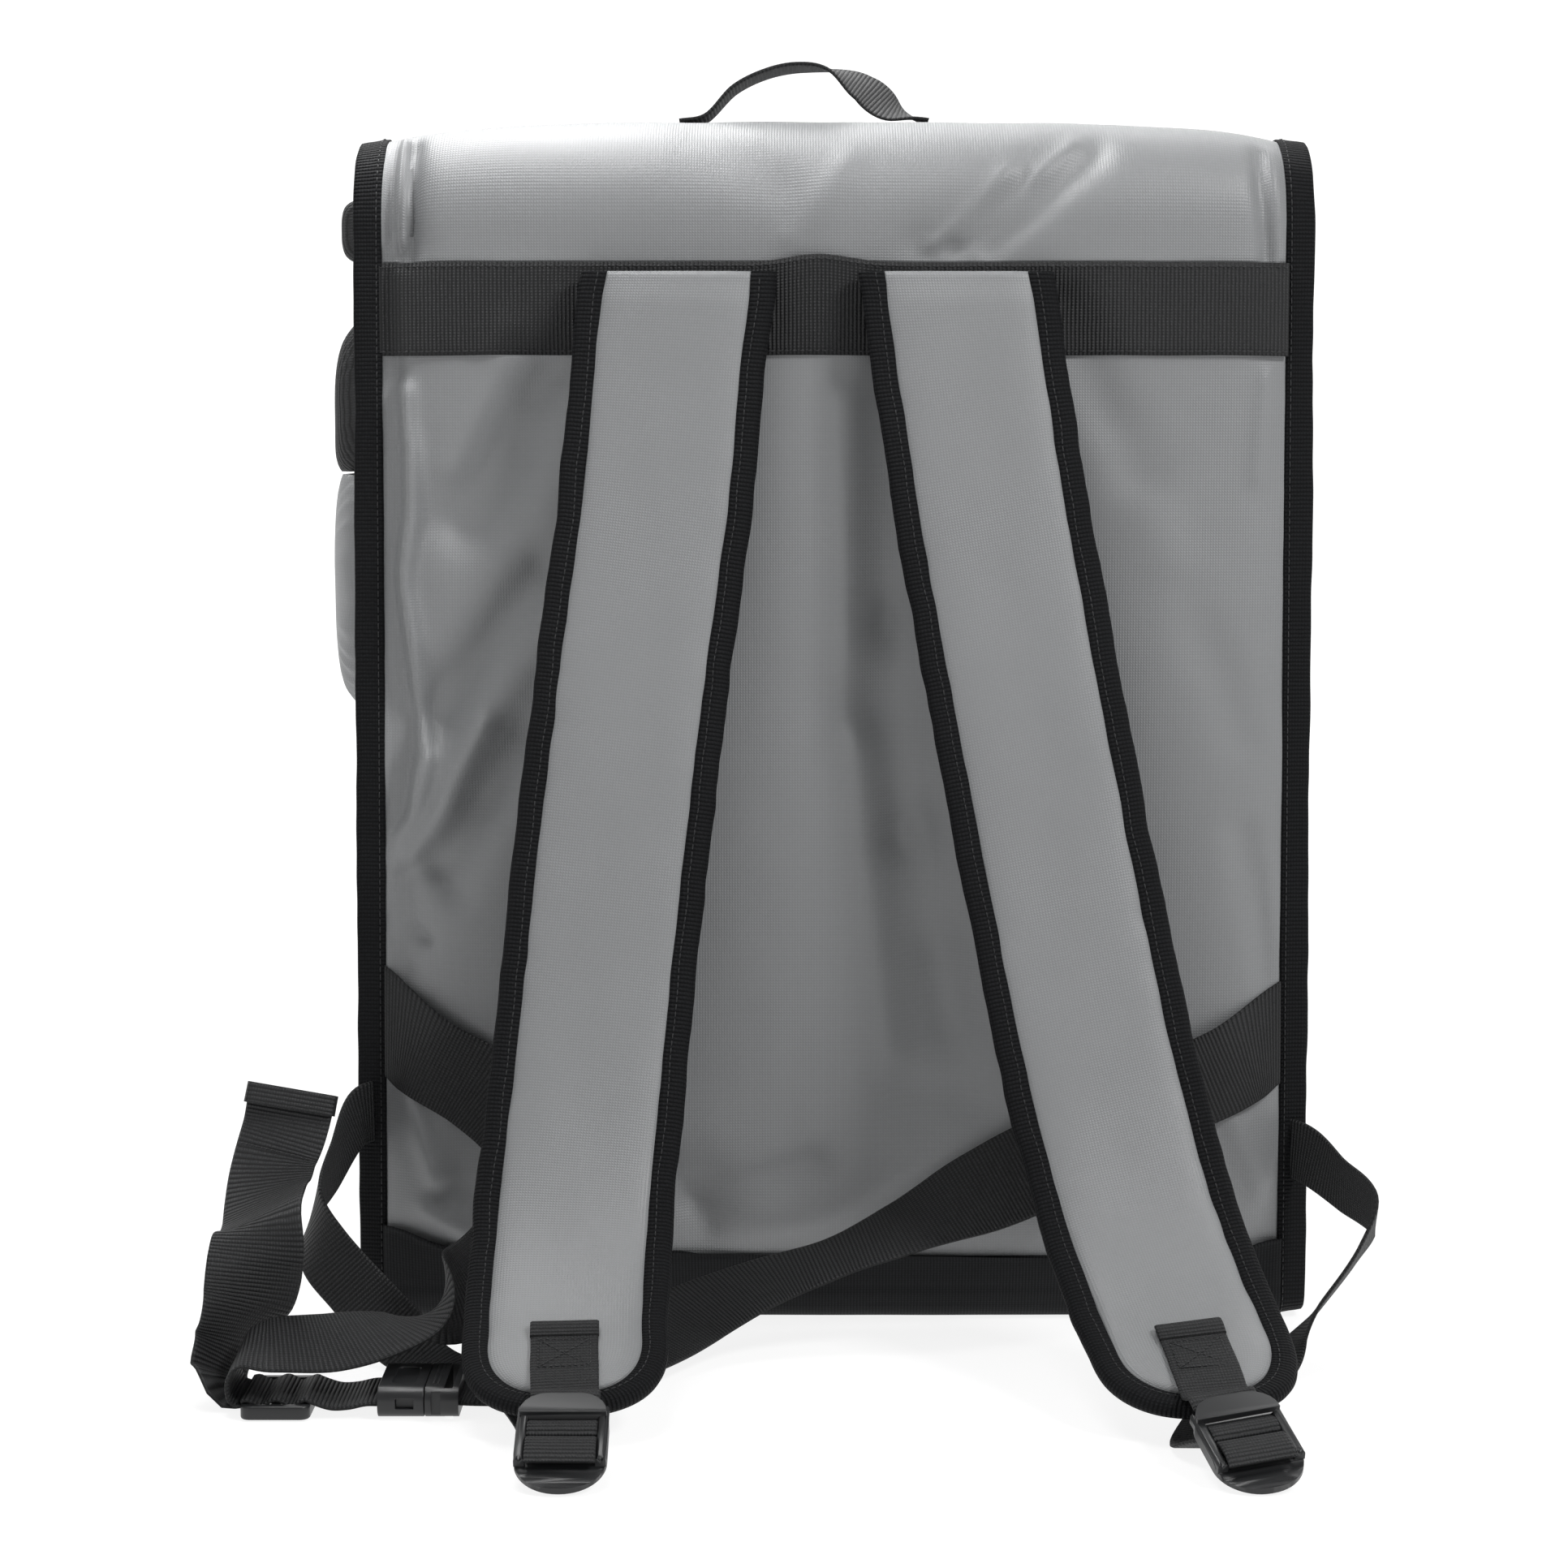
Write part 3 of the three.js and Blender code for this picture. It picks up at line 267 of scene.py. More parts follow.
def bag_grid(bag, step, folds):
    """Rings of points from the middle of one side panel over the bag to the middle of the other."""
    outline = Outline(bag, 0, step)
    middle = bag.height / 2
    rings, flat = [], []

    def dome(inset, side):
        y = outline.y * (1 - inset)
        z = middle + (outline.z - middle) * (middle - inset * bag.depth / 2) / middle
        out = bag.side_pillow * (1 - (1 - min(inset / SIDE_FULL, 1)) ** 2.4)
        rings.append(np.stack([side * (half_width(bag, z) + out), y, z], axis=1))
        flat.append(np.stack([y, z], axis=1))

    for inset in SIDE_INSETS:
        dome(inset, -1)
    for share in across_shares(round(bag.width / step)):
        swell = outline.swell(bag, share, folds)
        x = share * half_width(bag, outline.z)
        rings.append(np.stack([x, outline.y + outline.ny * swell, outline.z + outline.nz * swell], axis=1))
        flat.append(np.stack([x, outline.run_length[:-1]], axis=1))
    for inset in reversed(SIDE_INSETS):
        dome(inset, 1)
    return rings, flat


# Small makers of meshes

def deselect():
    if bpy.context.object and bpy.context.object.mode != "OBJECT":
        bpy.ops.object.mode_set(mode="OBJECT")
    bpy.ops.object.select_all(action="DESELECT")


def choose(piece):
    deselect()
    piece.select_set(True)
    bpy.context.view_layer.objects.active = piece


def new_piece(name, verts, faces, material, flat=None):
    """A mesh piece. flat gives each vertex its place on the flat cloth, in metres, as a UV map."""
    mesh = bpy.data.meshes.new(name)
    mesh.from_pydata([tuple(v) for v in verts], [], faces)
    if flat is not None:
        layer = mesh.uv_layers.new(name="cloth")
        index = np.empty(len(mesh.loops), dtype=np.int32)
        mesh.loops.foreach_get("vertex_index", index)
        layer.data.foreach_set("uv", np.asarray(flat, dtype=np.float32)[index].ravel())
    mesh.update()
    piece = bpy.data.objects.new(name, mesh)
    bpy.context.scene.collection.objects.link(piece)
    mesh.polygons.foreach_set("use_smooth", [True] * len(mesh.polygons))
    mesh.materials.append(finish(material))
    return piece


def loft(name, rings, flat, material, closed=False, caps=(True, True), round_ring=True):
    """A skin over rows of points. flat holds the rows' places on the flat cloth, and caps says
    whether its start and its end are filled."""
    rings = np.asarray(rings)
    rows, cols = rings.shape[:2]
    faces = []
    for r in range(rows if closed else rows - 1):
        here, after = r * cols, ((r + 1) % rows) * cols
        for c in range(cols if round_ring else cols - 1):
            d = (c + 1) % cols
            faces.append((here + c, here + d, after + d, after + c))
    if round_ring and not closed:
        if caps[0]:
            faces.append(tuple(range(cols))[::-1])
        if caps[1]:
            faces.append(tuple((rows - 1) * cols + c for c in range(cols)))
    piece = new_piece(name, rings.reshape(-1, 3), faces, material, np.asarray(flat).reshape(-1, 2))
    face_out(piece)
    return piece


def section_runs(section, wide, high):
    """How far along a section of (across, up) shares each of its points lies."""
    points = [(a * wide, b * high) for a, b in section]
    return np.cumsum([0] + [math.dist(p, q) for p, q in zip(points, points[1:])])


def face_out(piece):
    mesh = bmesh.new()
    mesh.from_mesh(piece.data)
    bmesh.ops.recalc_face_normals(mesh, faces=mesh.faces)
    mesh.to_mesh(piece.data)
    mesh.free()


def finish_with(piece, kind, **settings):
    """Adds a modifier with its settings and applies it."""
    choose(piece)
    modifier = piece.modifiers.new(kind.title(), kind)
    for name, value in settings.items():
        setattr(modifier, name, value)
    bpy.ops.object.modifier_apply(modifier=modifier.name)
    return piece


def point_to(piece, direction):
    """Turns an open sheet's faces so that they look the given way."""
    total = sum((polygon.normal * polygon.area for polygon in piece.data.polygons), Vector())
    if total.dot(Vector(direction)) < 0:
        piece.data.flip_normals()
    piece.data.update()


def thicken(piece, thickness, outward=None):
    """Gives a sheet its thickness, inward. outward turns its faces that way first."""
    if outward:
        point_to(piece, outward)
    return finish_with(piece, "SOLIDIFY", thickness=thickness, offset=-1)


def cut_off(piece, height, side):
    """Takes away what lies over the height, or under it with side -1."""
    choose(piece)
    bpy.ops.object.mode_set(mode="EDIT")
    bpy.ops.mesh.select_all(action="SELECT")
    bpy.ops.mesh.bisect(plane_co=(0, 0, height), plane_no=(0, 0, side), clear_outer=True, use_fill=False)
    bpy.ops.object.mode_set(mode="OBJECT")
    return piece


def join(pieces, name):
    deselect()
    for piece in pieces:
        piece.select_set(True)
    bpy.context.view_layer.objects.active = pieces[0]
    if len(pieces) > 1:
        bpy.ops.object.join()
    pieces[0].name = name
    return pieces[0]


def settle(piece, slot, *nodes):
    """Makes a finished piece ride with the bag and stand for its nodes."""
    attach(piece, "root")
    if nodes:
        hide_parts(*nodes)
    return piece


# Routes of straps and webbing, the same as in the construction model

# Shoulder straps. across: share of the half width, off: share of the way from the panel to the
# strap's reach, up: share of the rim's height.
STRAPS = {  # across, off, up
    "left": [
        (-0.337, 0, 0.991), (-0.36, 0.01, 0.913), (-0.384, 0.04, 0.796), (-0.434, 0.093, 0.636),
        (-0.485, 0.153, 0.456), (-0.526, 0.26, 0.282), (-0.552, 0.427, 0.16), (-0.558, 0.63, 0.091),
        (-0.552, 0.833, 0.052), (-0.542, 1, 0.029),
    ],
    "right": [
        (0.262, 0, 0.991), (0.293, 0.01, 0.907), (0.332, 0.04, 0.796), (0.399, 0.093, 0.636),
        (0.474, 0.153, 0.471), (0.549, 0.26, 0.308), (0.593, 0.338, 0.227), (0.64, 0.463, 0.148),
        (0.691, 0.642, 0.089), (0.727, 0.833, 0.052), (0.745, 1, 0.029),
    ],
}
LOCK_LEAN = {"left": 0, "right": 12 * MM}  # how far a lock's foot leans to the right
LOCK_GAP = 1 * MM  # a lock's height over the floor

# Webbing. across and up as above, off: share of the strap's reach in front of the panel,
# wx wy wz: the direction of the webbing's width.
BELTS = {  # across, off, up, wx, wy, wz
    "left": [
        (-0.985, 0.004, 0.285, 0.56, -0.2, 0.83), (-0.909, 0.014, 0.26, 0.56, -0.16, 0.83),
        (-0.788, 0.012, 0.23, 0.56, -0.06, 0.83), (-0.687, 0.014, 0.19, 0.82, -0.03, 0.56),
        (-0.647, 0.05, 0.146, 1, 0.02, 0.1), (-0.687, 0.15, 0.104, 0.94, 0.25, -0.2),
        (-0.773, 0.37, 0.078, 0.72, 0.65, -0.22), (-0.899, 0.55, 0.06, 0.3, 0.93, 0.16),
        (-1.041, 0.65, 0.053, 0.06, 0.94, 0.32), (-1.162, 0.685, 0.054, 0, 0.95, 0.3),
        (-1.222, 0.69, 0.05, 0, 0.99, 0.12), (-1.246, 0.69, 0.032, 0, 1, 0),
        (-1.241, 0.69, 0.0138, 0, 1, 0), (-1.221, 0.69, 0.0098, 0, 1, 0),
    ],
    "right": [
        (0.985, 0, 0.275, -0.43, -0.15, 0.9), (0.889, 0.015, 0.25, -0.43, -0.12, 0.9),
        (0.728, 0.014, 0.22, -0.45, -0.03, 0.88), (0.43, 0.055, 0.157, -0.42, 0.35, 0.82),
        (0.169, 0.13, 0.112, -0.2, 0.92, 0.34), (0, 0.16, 0.083, -0.1, 0.97, 0.2),
        (-0.152, 0.2, 0.062, -0.14, 0.93, 0.3), (-0.303, 0.3, 0.042, -0.22, 0.88, 0.4),
        (-0.435, 0.47, 0.026, -0.4, 0.85, 0.25), (-0.556, 0.63, 0.0145, -0.3, 0.95, 0.03),
        (-0.667, 0.69, 0.0135, -0.06, 1, 0), (-0.768, 0.69, 0.0135, 0, 1, 0),
    ],
}
BELT_TAIL = [  # across, off, up, wx, wy, wz
    (-1.221, 0.64, 0.0046, 0, 1, 0), (-1.26, 0.64, 0.0052, 0, 1, 0),
    (-1.288, 0.605, 0.022, 0.3, 0.93, 0.1), (-1.274, 0.575, 0.047, 0.66, 0.72, 0.2),
    (-1.23, 0.575, 0.083, 0.93, 0.34, 0.16), (-1.213, 0.575, 0.122, 0.96, 0.02, 0.28),
    (-1.209, 0.55, 0.149, 0.9, -0.1, 0.42), (-1.208, 0.49, 0.157, 0.88, -0.12, 0.44),
    (-1.208, 0.43, 0.168, 0.92, -0.14, 0.34), (-1.2, 0.385, 0.19, 0.95, -0.25, 0.2),
    (-1.179, 0.36, 0.219, 0.95, -0.25, 0.2), (-1.164, 0.34, 0.252, 0.95, -0.2, 0.22),
]
LOWER = {  # across, off, up, wx, wy, wz
    "left": [
        (-1.062, 0.027, 0.2, 0, 0, 1), (-1.1, 0.128, 0.1667, 0, -0.35, 0.93),
        (-1.132, 0.277, 0.1311, 0.3, -0.35, 0.85), (-1.1, 0.34, 0.1022, 0.55, -0.1, 0.75),
        (-1.027, 0.362, 0.0667, 0.74, 0, 0.67), (-0.953, 0.372, 0.0333, 0.74, 0.2, 0.55),
        (-0.884, 0.399, 0.01, 0.65, 0.7, 0.15), (-0.779, 0.468, 0.0038, 0.4, 0.9, 0),
        (-0.668, 0.612, 0.0038, 0.86, 0.5, 0), (-0.595, 0.824, 0.0038, 0.96, 0.25, 0),
        (-0.553, 1.021, 0.0067, 1, 0.05, 0),
    ],
    "right": [
        (1.062, 0.027, 0.1644, 0, 0, 1), (1.121, 0.128, 0.1467, 0, -0.35, 0.93),
        (1.173, 0.287, 0.1289, -0.05, -0.7, 0.7), (1.127, 0.335, 0.0978, -0.15, -0.93, 0.35),
        (1.042, 0.372, 0.0533, -0.12, -0.93, 0.3), (0.974, 0.404, 0.02, 0.3, -0.85, 0.2),
        (0.91, 0.479, 0.0053, 0.85, -0.5, 0), (0.832, 0.649, 0.0038, 0.93, -0.35, 0),
        (0.763, 0.851, 0.0038, 0.96, -0.25, 0), (0.722, 1.032, 0.0067, 1, -0.1, 0),
    ],
}
# The handle. rise: share of the handle's rise over the lid.
HANDLE = [  # across, rise, wx, wy
    (-0.344, 0, 0, 1), (-0.288, 0.08, 0, 1), (-0.22, 0.6, 0.03, 1), (-0.145, 0.88, 0.06, 1),
    (-0.075, 0.98, 0.16, 0.98), (-0.005, 0.93, 0.34, 0.92), (0.07, 0.62, 0.66, 0.74),
    (0.14, 0.2, 0.62, 0.78), (0.215, 0.02, 0.1, 1),
]


def smooth_curve(points, per_span=24):
    """A smooth line through points of any dimension, dense enough to measure along."""
    points = np.asarray(points, dtype=float)
    ends = np.concatenate([[2 * points[0] - points[1]], points, [2 * points[-1] - points[-2]]])
    made = []
    for i in range(len(points) - 1):
        p0, p1, p2, p3 = ends[i:i + 4]
        d0, d1, d2 = (max(np.linalg.norm(b - a), 1e-9) ** 0.5 for a, b in ((p0, p1), (p1, p2), (p2, p3)))
        leave = ((p1 - p0) / d0 - (p2 - p0) / (d0 + d1) + (p2 - p1) / d1) * d1
        meet = ((p2 - p1) / d1 - (p3 - p1) / (d1 + d2) + (p3 - p2) / d2) * d1
        t = np.linspace(0, 1, per_span, endpoint=False)[:, None]
        bend = -3 * p1 + 3 * p2 - 2 * leave - meet
        twist = 2 * p1 - 2 * p2 + leave + meet
        made.append(p1 + t * leave + t**2 * bend + t**3 * twist)
    made.append(points[-1:])
    return np.concatenate(made)


def unit(vectors):
    return vectors / np.maximum(np.linalg.norm(vectors, axis=-1, keepdims=True), 1e-12)


def measured(line):
    steps = np.linalg.norm(np.diff(line, axis=0), axis=1)
    return np.concatenate([[0], np.cumsum(steps)])


def at_lengths(line, run, wanted):
    return np.stack([np.interp(wanted, run, line[:, i]) for i in range(line.shape[1])], axis=1)


class Route:
    """A line with its width's direction and outward direction at even steps."""

    def __init__(self, points, widths, step):
        line = smooth_curve(points)
        turn = smooth_curve(widths)
        run = measured(line)
        self.length = run[-1]
        self.s = np.linspace(0, self.length, max(round(self.length / step), 4) + 1)
        self.middle = at_lengths(line, run, self.s)
        self.along = unit(np.gradient(self.middle, axis=0))
        width = at_lengths(turn, run, self.s)
        self.across = unit(width - self.along * np.sum(width * self.along, axis=1, keepdims=True))
        self.out = unit(np.cross(self.along, self.across))

    def rows(self):
        return zip(self.s, self.middle, self.along, self.across, self.out)


def sizes():
    """The scene's property groups of the bag, its straps, its webbing and its hardware."""
    scene = bpy.context.scene
    return scene.backpack_bag, scene.backpack_strap, scene.backpack_webbing, scene.backpack_hardware


def on_panel(rows):
    """Places of a webbing table in the bag's frame, and the width's directions."""
    bag, strap, webbing, _ = sizes()
    points = []
    for across, off, up, *_ in rows:
        x, z = across * bag.width / 2, up * bag.rim
        lie = panel_swell(bag, np.clip(x, -bag.width / 2, bag.width / 2), z) + webbing.lie
        points.append((x, -(bag.depth / 2 + lie + off * strap.reach), z))
    return points, [row[3:] for row in rows]


def ripple(seed, *values):
    """Soft unevenness between -1 and 1 that is the same each time."""
    place = [float(v) for v in values] + [0.0, 0.0]
    return noise.noise(Vector((place[0] + seed * 7.31, place[1] - seed * 3.7, place[2] + seed)))


# Half a section of webbing, as shares of its half width. Its very edges are thinner.
WEBBING_SHARES = [-1, -0.94, -0.8, -0.5, -0.17, 0.17, 0.5, 0.8, 0.94, 1]
EDGE_THICKNESS = 0.55


def webbing_piece(name, route, width, seed, wave, thick=None, seam=False):
    """Flat webbing with rounded edges along a route. What would sink below the floor lies on it.
    With seam, its start is cut along the bag's side seam and not square to its run."""
    *_, webbing, hard = sizes()
    half, h = width / 2, (thick or webbing.thick) / 2
    edge_wave, seam_run = 0.25 * MM, 34 * MM
    top = [(a * half, h * (EDGE_THICKNESS if abs(a) == 1 else 1)) for a in WEBBING_SHARES]
    section = top + [(a, -b) for a, b in reversed(top)]
    rings, flat = [], []
    for s, middle, along, across, out in route.rows():
        lowest = middle[2] - abs(across[2]) * half - abs(out[2]) * h
        lift = max(hard.lift - lowest, 0)
        ring = []
        for a, b in section:
            bow = wave * ripple(seed, s * 28, a * 30) * (0.3 + abs(a / half))
            edge = edge_wave * ripple(seed + 5, s * 60) * (a / half) ** 3
            point = middle + across * (a + edge) + out * (b + bow)
            if seam:
                slant = (point - middle)[0] / along[0]
                point = point - along * slant * (1 - smooth(s, 0, seam_run))
            point[2] = max(point[2] + lift, hard.lift)
            ring.append(point)
        rings.append(ring)
        flat.append([(s, a + (0 if b > 0 else 2 * width)) for a, b in section])
    return loft(name, rings, flat, "black webbing")


class StrapSurface:
    """A shoulder strap's own surface: s runs down it, u across it and h out of it."""

    def __init__(self, name):
        bag, strap, _, hard = sizes()
        points = []
        for across, off, up in STRAPS[name]:
            stand = strap.seat + off * (strap.reach - strap.seat)
            points.append((across * bag.width / 2, -(bag.depth / 2 + stand), up * bag.rim))
        self.line = smooth_curve(points, 60)
        self.run = measured(self.line)
        self.length = self.run[-1]
        self.tangent = unit(np.gradient(self.line, self.run, axis=0))
        _, along, across, _ = self.frame(0)
        self.slant = -across[2] / along[2]
        self.lock = self.lock_place(hard, LOCK_LEAN[name])

    def frames(self, s):
        s = np.clip(np.asarray(s, dtype=float), 0, self.length)
        middle = at_lengths(self.line, self.run, s)
        along = unit(at_lengths(self.tangent, self.run, s))
        side = np.array([1.0, 0, 0])
        across = unit(side - along * (along @ side)[:, None])
        return middle, along, across, unit(np.cross(along, across))

    def frame(self, s):
        return [values[0] for values in self.frames([s])]

    def at(self, s, u, h):
        """A point of the surface. Near its top the strap is cut level, not square to its run."""
        s = s + u * self.slant * (1 - smooth(s, 0, 70 * MM))
        middle, along, across, out = self.frame(s)
        return middle + along * min(s, 0) + across * u + out * h

    def lock_place(self, hard, lean):
        """The matrix of the strap's lock: its top bar at the origin, x across, -y down its length."""
        middle, along, _, _ = self.frame(self.length)
        down = Vector((lean, -hard.lock_length * 0.91, -(middle[2] + 6 * MM))).normalized()
        top = Vector(middle) + Vector((along[0] * 16 * MM, -18 * MM, 11 * MM))
        across = (Vector((1, 0, 0)) - down * down.x).normalized()
        out = down.cross(across).normalized()
        foot = top.z + down.z * hard.lock_length - abs(out.z) * hard.lock_thick / 2
        top.z += LOCK_GAP - foot
        return Matrix.Translation(top) @ Matrix((across, -down, out)).transposed().to_4x4()


END_POWER = 2.5  # how square a strap's rounded end is


def end_share(share):
    """How wide a strap's rounded end still is at a share of its length."""
    return (1 - np.clip(share, 0, 1) ** END_POWER) ** (1 / END_POWER)


# Shader values, and node groups for effects that several materials share

class Signal:
    """A shader value that varies, and can be added to, multiplied and so on."""

    def __init__(self, socket):
        self.socket, self.tree = socket, socket.id_data

    def math(self, operation, *values):
        return Signal(node(self.tree, "Math", self, *values, operation=operation).outputs[0])

    def __add__(self, value):
        return self.math("ADD", value)

    def __sub__(self, value):
        return self.math("SUBTRACT", value)

    def __mul__(self, value):
        return self.math("MULTIPLY", value)

    def __truediv__(self, value):
        return self.math("DIVIDE", value)

    def __pow__(self, value):
        return self.math("POWER", value)

    def wave(self):
        """A sine that turns once for each whole number."""
        return (self * (2 * math.pi)).math("SINE")

    def ranged(self, low, high, to_low=0.0, to_high=1.0):
        limits = {"From Min": low, "From Max": high, "To Min": to_low, "To Max": to_high}
        return Signal(node(self.tree, "MapRange", self, named=limits).outputs[0])


def feed(socket, value):
    if isinstance(value, Signal):
        socket.id_data.links.new(value.socket, socket)
    else:
        socket.default_value = value


def node(tree, kind, *values, named=None, **settings):
    """A shader node with its settings, and its inputs fed in order or by name."""
    made = tree.nodes.new("ShaderNode" + kind)
    for name, value in settings.items():
        setattr(made, name, value)
    for key, value in [*enumerate(values), *(named or {}).items()]:
        feed(made.inputs[key], value)
    return made


def cloudy(place, scale, detail, **more):
    named = {"Vector": place, "Scale": scale, "Detail": detail, **more}
    return Signal(node(place.tree, "TexNoise", named=named).outputs[0])


def own_place(tree):
    return Signal(node(tree, "TexCoord").outputs["Object"])


def cloth_place(tree):
    """The place on the flat cloth, in metres: both, along and across."""
    uv = Signal(node(tree, "UVMap", uv_map="cloth").outputs[0])
    parts = node(tree, "SeparateXYZ", uv).outputs
    return uv, Signal(parts[0]), Signal(parts[1])


def rib_weave(tree, pitch, thread, uneven):
    """Ribs across webbing or tape, with the fine threads that run along it. Height makes their bumps, and
    Shade gives the same pattern as painted shade in the rib valleys and painted highlight on the rib tops.
    """
    uv, along, across = cloth_place(tree)
    drift = (cloudy(uv, 160, 2) - 0.5) * uneven
    rib = ((along / pitch + drift).wave() * 0.5 + 0.5) ** 0.7
    woven = rib * ((across / thread).wave() * 0.2 + 0.8)
    # Shade is painted shade and painted highlight: the ribs' valleys darken the colour and their tops lighten
    # it
    return {"Height": woven + cloudy(uv, 900, 3) * 0.25, "Shade": woven}


def coated_weave(tree, pitch, soft):
    """The fine square weave that shows through the coating of tarpaulin."""
    uv, along, across = cloth_place(tree)
    grid = ((along / pitch).wave() * 0.5 + 0.5) * ((across / pitch).wave() * 0.5 + 0.5)
    patches = cloudy(uv, 14, 2).ranged(0.35, 0.7, 0.45, 1.0)
    return {"Height": grid * patches + cloudy(uv, 420, 4) * soft}


def uneven_tone(tree, broad, fine, amount, dust):
    """Broad and fine unevenness of a surface, around 1, and specks of dust where it is broad."""
    place = own_place(tree)
    wide = cloudy(place, broad, 3)
    both = wide * 1.4 + cloudy(place, fine, 4) * 0.6
    specks = cloudy(place, 520, 2, Roughness=0.75).ranged(0.62, 0.78)
    return {"Tone": (both - 1.0) * amount + 1.0, "Dust": specks * wide * dust}


# What makes each group, its inputs and its outputs
NODE_GROUPS = {
    "Rib weave": (rib_weave, ["Pitch", "Thread", "Uneven"], ["Height", "Shade"]),
    "Coated weave": (coated_weave, ["Pitch", "Soft"], ["Height"]),
    "Uneven tone": (uneven_tone, ["Broad", "Fine", "Amount", "Dust"], ["Tone", "Dust"]),
}


def shared_group(name):
    """The named node group, made once. Its inputs and outputs are single values."""
    made = bpy.data.node_groups.get(name)
    if made:
        return made
    made = bpy.data.node_groups.new(name, "ShaderNodeTree")
    maker, inputs, outputs = NODE_GROUPS[name]
    for labels, way in ((inputs, "INPUT"), (outputs, "OUTPUT")):
        for label in labels:
            made.interface.new_socket(label, in_out=way, socket_type="NodeSocketFloat")
    start = made.nodes.new("NodeGroupInput")
    end = made.nodes.new("NodeGroupOutput")
    for label, value in maker(made, *(Signal(start.outputs[label]) for label in inputs)).items():
        feed(end.inputs[label], value)
    return made


def placed(tree, name, *values):
    """A node of a shared group with its inputs' values, as its outputs."""
    made = node(tree, "Group", node_tree=shared_group(name))
    for socket, value in zip(made.inputs, values):
        socket.default_value = value
    return [Signal(socket) for socket in made.outputs]


def new_material(name, **shader_values):
    material = bpy.data.materials.new(name)
    material.use_nodes = True
    shader = material.node_tree.nodes["Principled BSDF"]
    for label, value in shader_values.items():
        shader.inputs[label.replace("_", " ")].default_value = value
    return material.node_tree, shader.inputs


def tint(tree, shader, rgb, tone):
    """Makes the base colour a colour multiplied by a mask that varies."""
    mix = node(tree, "VectorMath", rgb, named={"Scale": tone}, operation="SCALE")
    feed(shader["Base Color"], Signal(mix.outputs[0]))


def bump(tree, shader, height, strength, distance):
    named = {"Height": height, "Strength": strength, "Distance": distance}
    feed(shader["Normal"], Signal(node(tree, "Bump", named=named).outputs[0]))


def tarp_material(name, rgb):
    """Coated cloth: semi-gloss, with its weave just showing through as bumps and as painted shade in its
    hollows.
    """
    tree, shader = new_material(name, Specular_IOR_Level=0.5)
    tone, _ = placed(tree, "Uneven tone", 7.0, 60.0, 0.08, 0.0)
    weave, = placed(tree, "Coated weave", 0.00115, 0.35)
    # Painted shade: the weave's height darkens the colour in its hollows, on top of the uneven tone
    tint(tree, shader, rgb, tone * (weave * 0.16 + 0.91))
    feed(shader["Roughness"], tone.ranged(0.93, 1.07, 0.36, 0.5))
    bump(tree, shader, weave, 0.6, 0.3 * MM)


def woven_material(name, rgb, pitch, depth, roughness, dust, gloss):
    """Webbing or tape with ribs across it, with painted shade in the rib valleys and painted highlight on the
    rib tops.
    """
    tree, shader = new_material(name, Roughness=roughness, Specular_IOR_Level=gloss)
    height, shade = placed(tree, "Rib weave", pitch, 1.2 * MM, 0.22)
    tone, specks = placed(tree, "Uneven tone", 16.0, 220.0, 0.35, dust)
    # Painted shade in the rib valleys and painted highlight on the rib tops, times the uneven tone, with the
    # dust specks added
    tint(tree, shader, rgb, (shade * 1.1 + 0.45) * tone + specks)
    bump(tree, shader, height, 1.0, depth)


def plastic_material(name, rgb):
    """Moulded plastic with a fine grain and soft wear."""
    tree, shader = new_material(name, Specular_IOR_Level=0.5)
    tone, specks = placed(tree, "Uneven tone", 40.0, 300.0, 0.12, 0.08)
    tint(tree, shader, rgb, tone + specks)
    feed(shader["Roughness"], tone.ranged(0.85, 1.15, 0.33, 0.42))
    bump(tree, shader, cloudy(own_place(tree), 1500, 2), 0.1, 0.04 * MM)


def thread_material(name, rgb):
    tree, shader = new_material(name, Roughness=0.6, Sheen_Weight=0.1)
    tint(tree, shader, rgb, placed(tree, "Uneven tone", 30.0, 900.0, 0.5, 0.2)[0])


def floor_material(name):
    """Matt and pale, and as bright as the backdrop of a studio."""
    tree, shader = new_material(name, Roughness=0.9, Specular_IOR_Level=0, Emission_Strength=0.86)
    shader["Emission Color"].default_value = (1, 1, 1, 1)
    tint(tree, shader, (0.2, 0.2, 0.2), placed(tree, "Uneven tone", 0.7, 3.0, 0.015, 0.0)[0])


def finish(name):
    """The named material, made once from the scene's colours."""
    if name not in bpy.data.materials:
        colours = bpy.context.scene.backpack_colours
        rib = bpy.context.scene.backpack_webbing.rib
        maker, *values = {
            "grey tarp": (tarp_material, colours.tarp),
            "grey strap": (tarp_material, colours.strap),
            # rib pitch, depth, roughness, dust, gloss
            "black webbing": (woven_material, colours.webbing, rib, 0.7 * MM, 0.62, 0.35, 0.36),
            "black tape": (woven_material, colours.tape, rib, 0.6 * MM, 0.7, 0.3, 0.12),
            "black cover": (woven_material, colours.cover, rib * 0.8, 0.25 * MM, 0.8, 0.2, 0.2),
            "black plastic": (plastic_material, colours.plastic),
            "black thread": (thread_material, colours.thread),
            "pale floor": (floor_material,),
        }[name]
        maker(name, *values)
    return bpy.data.materials[name]


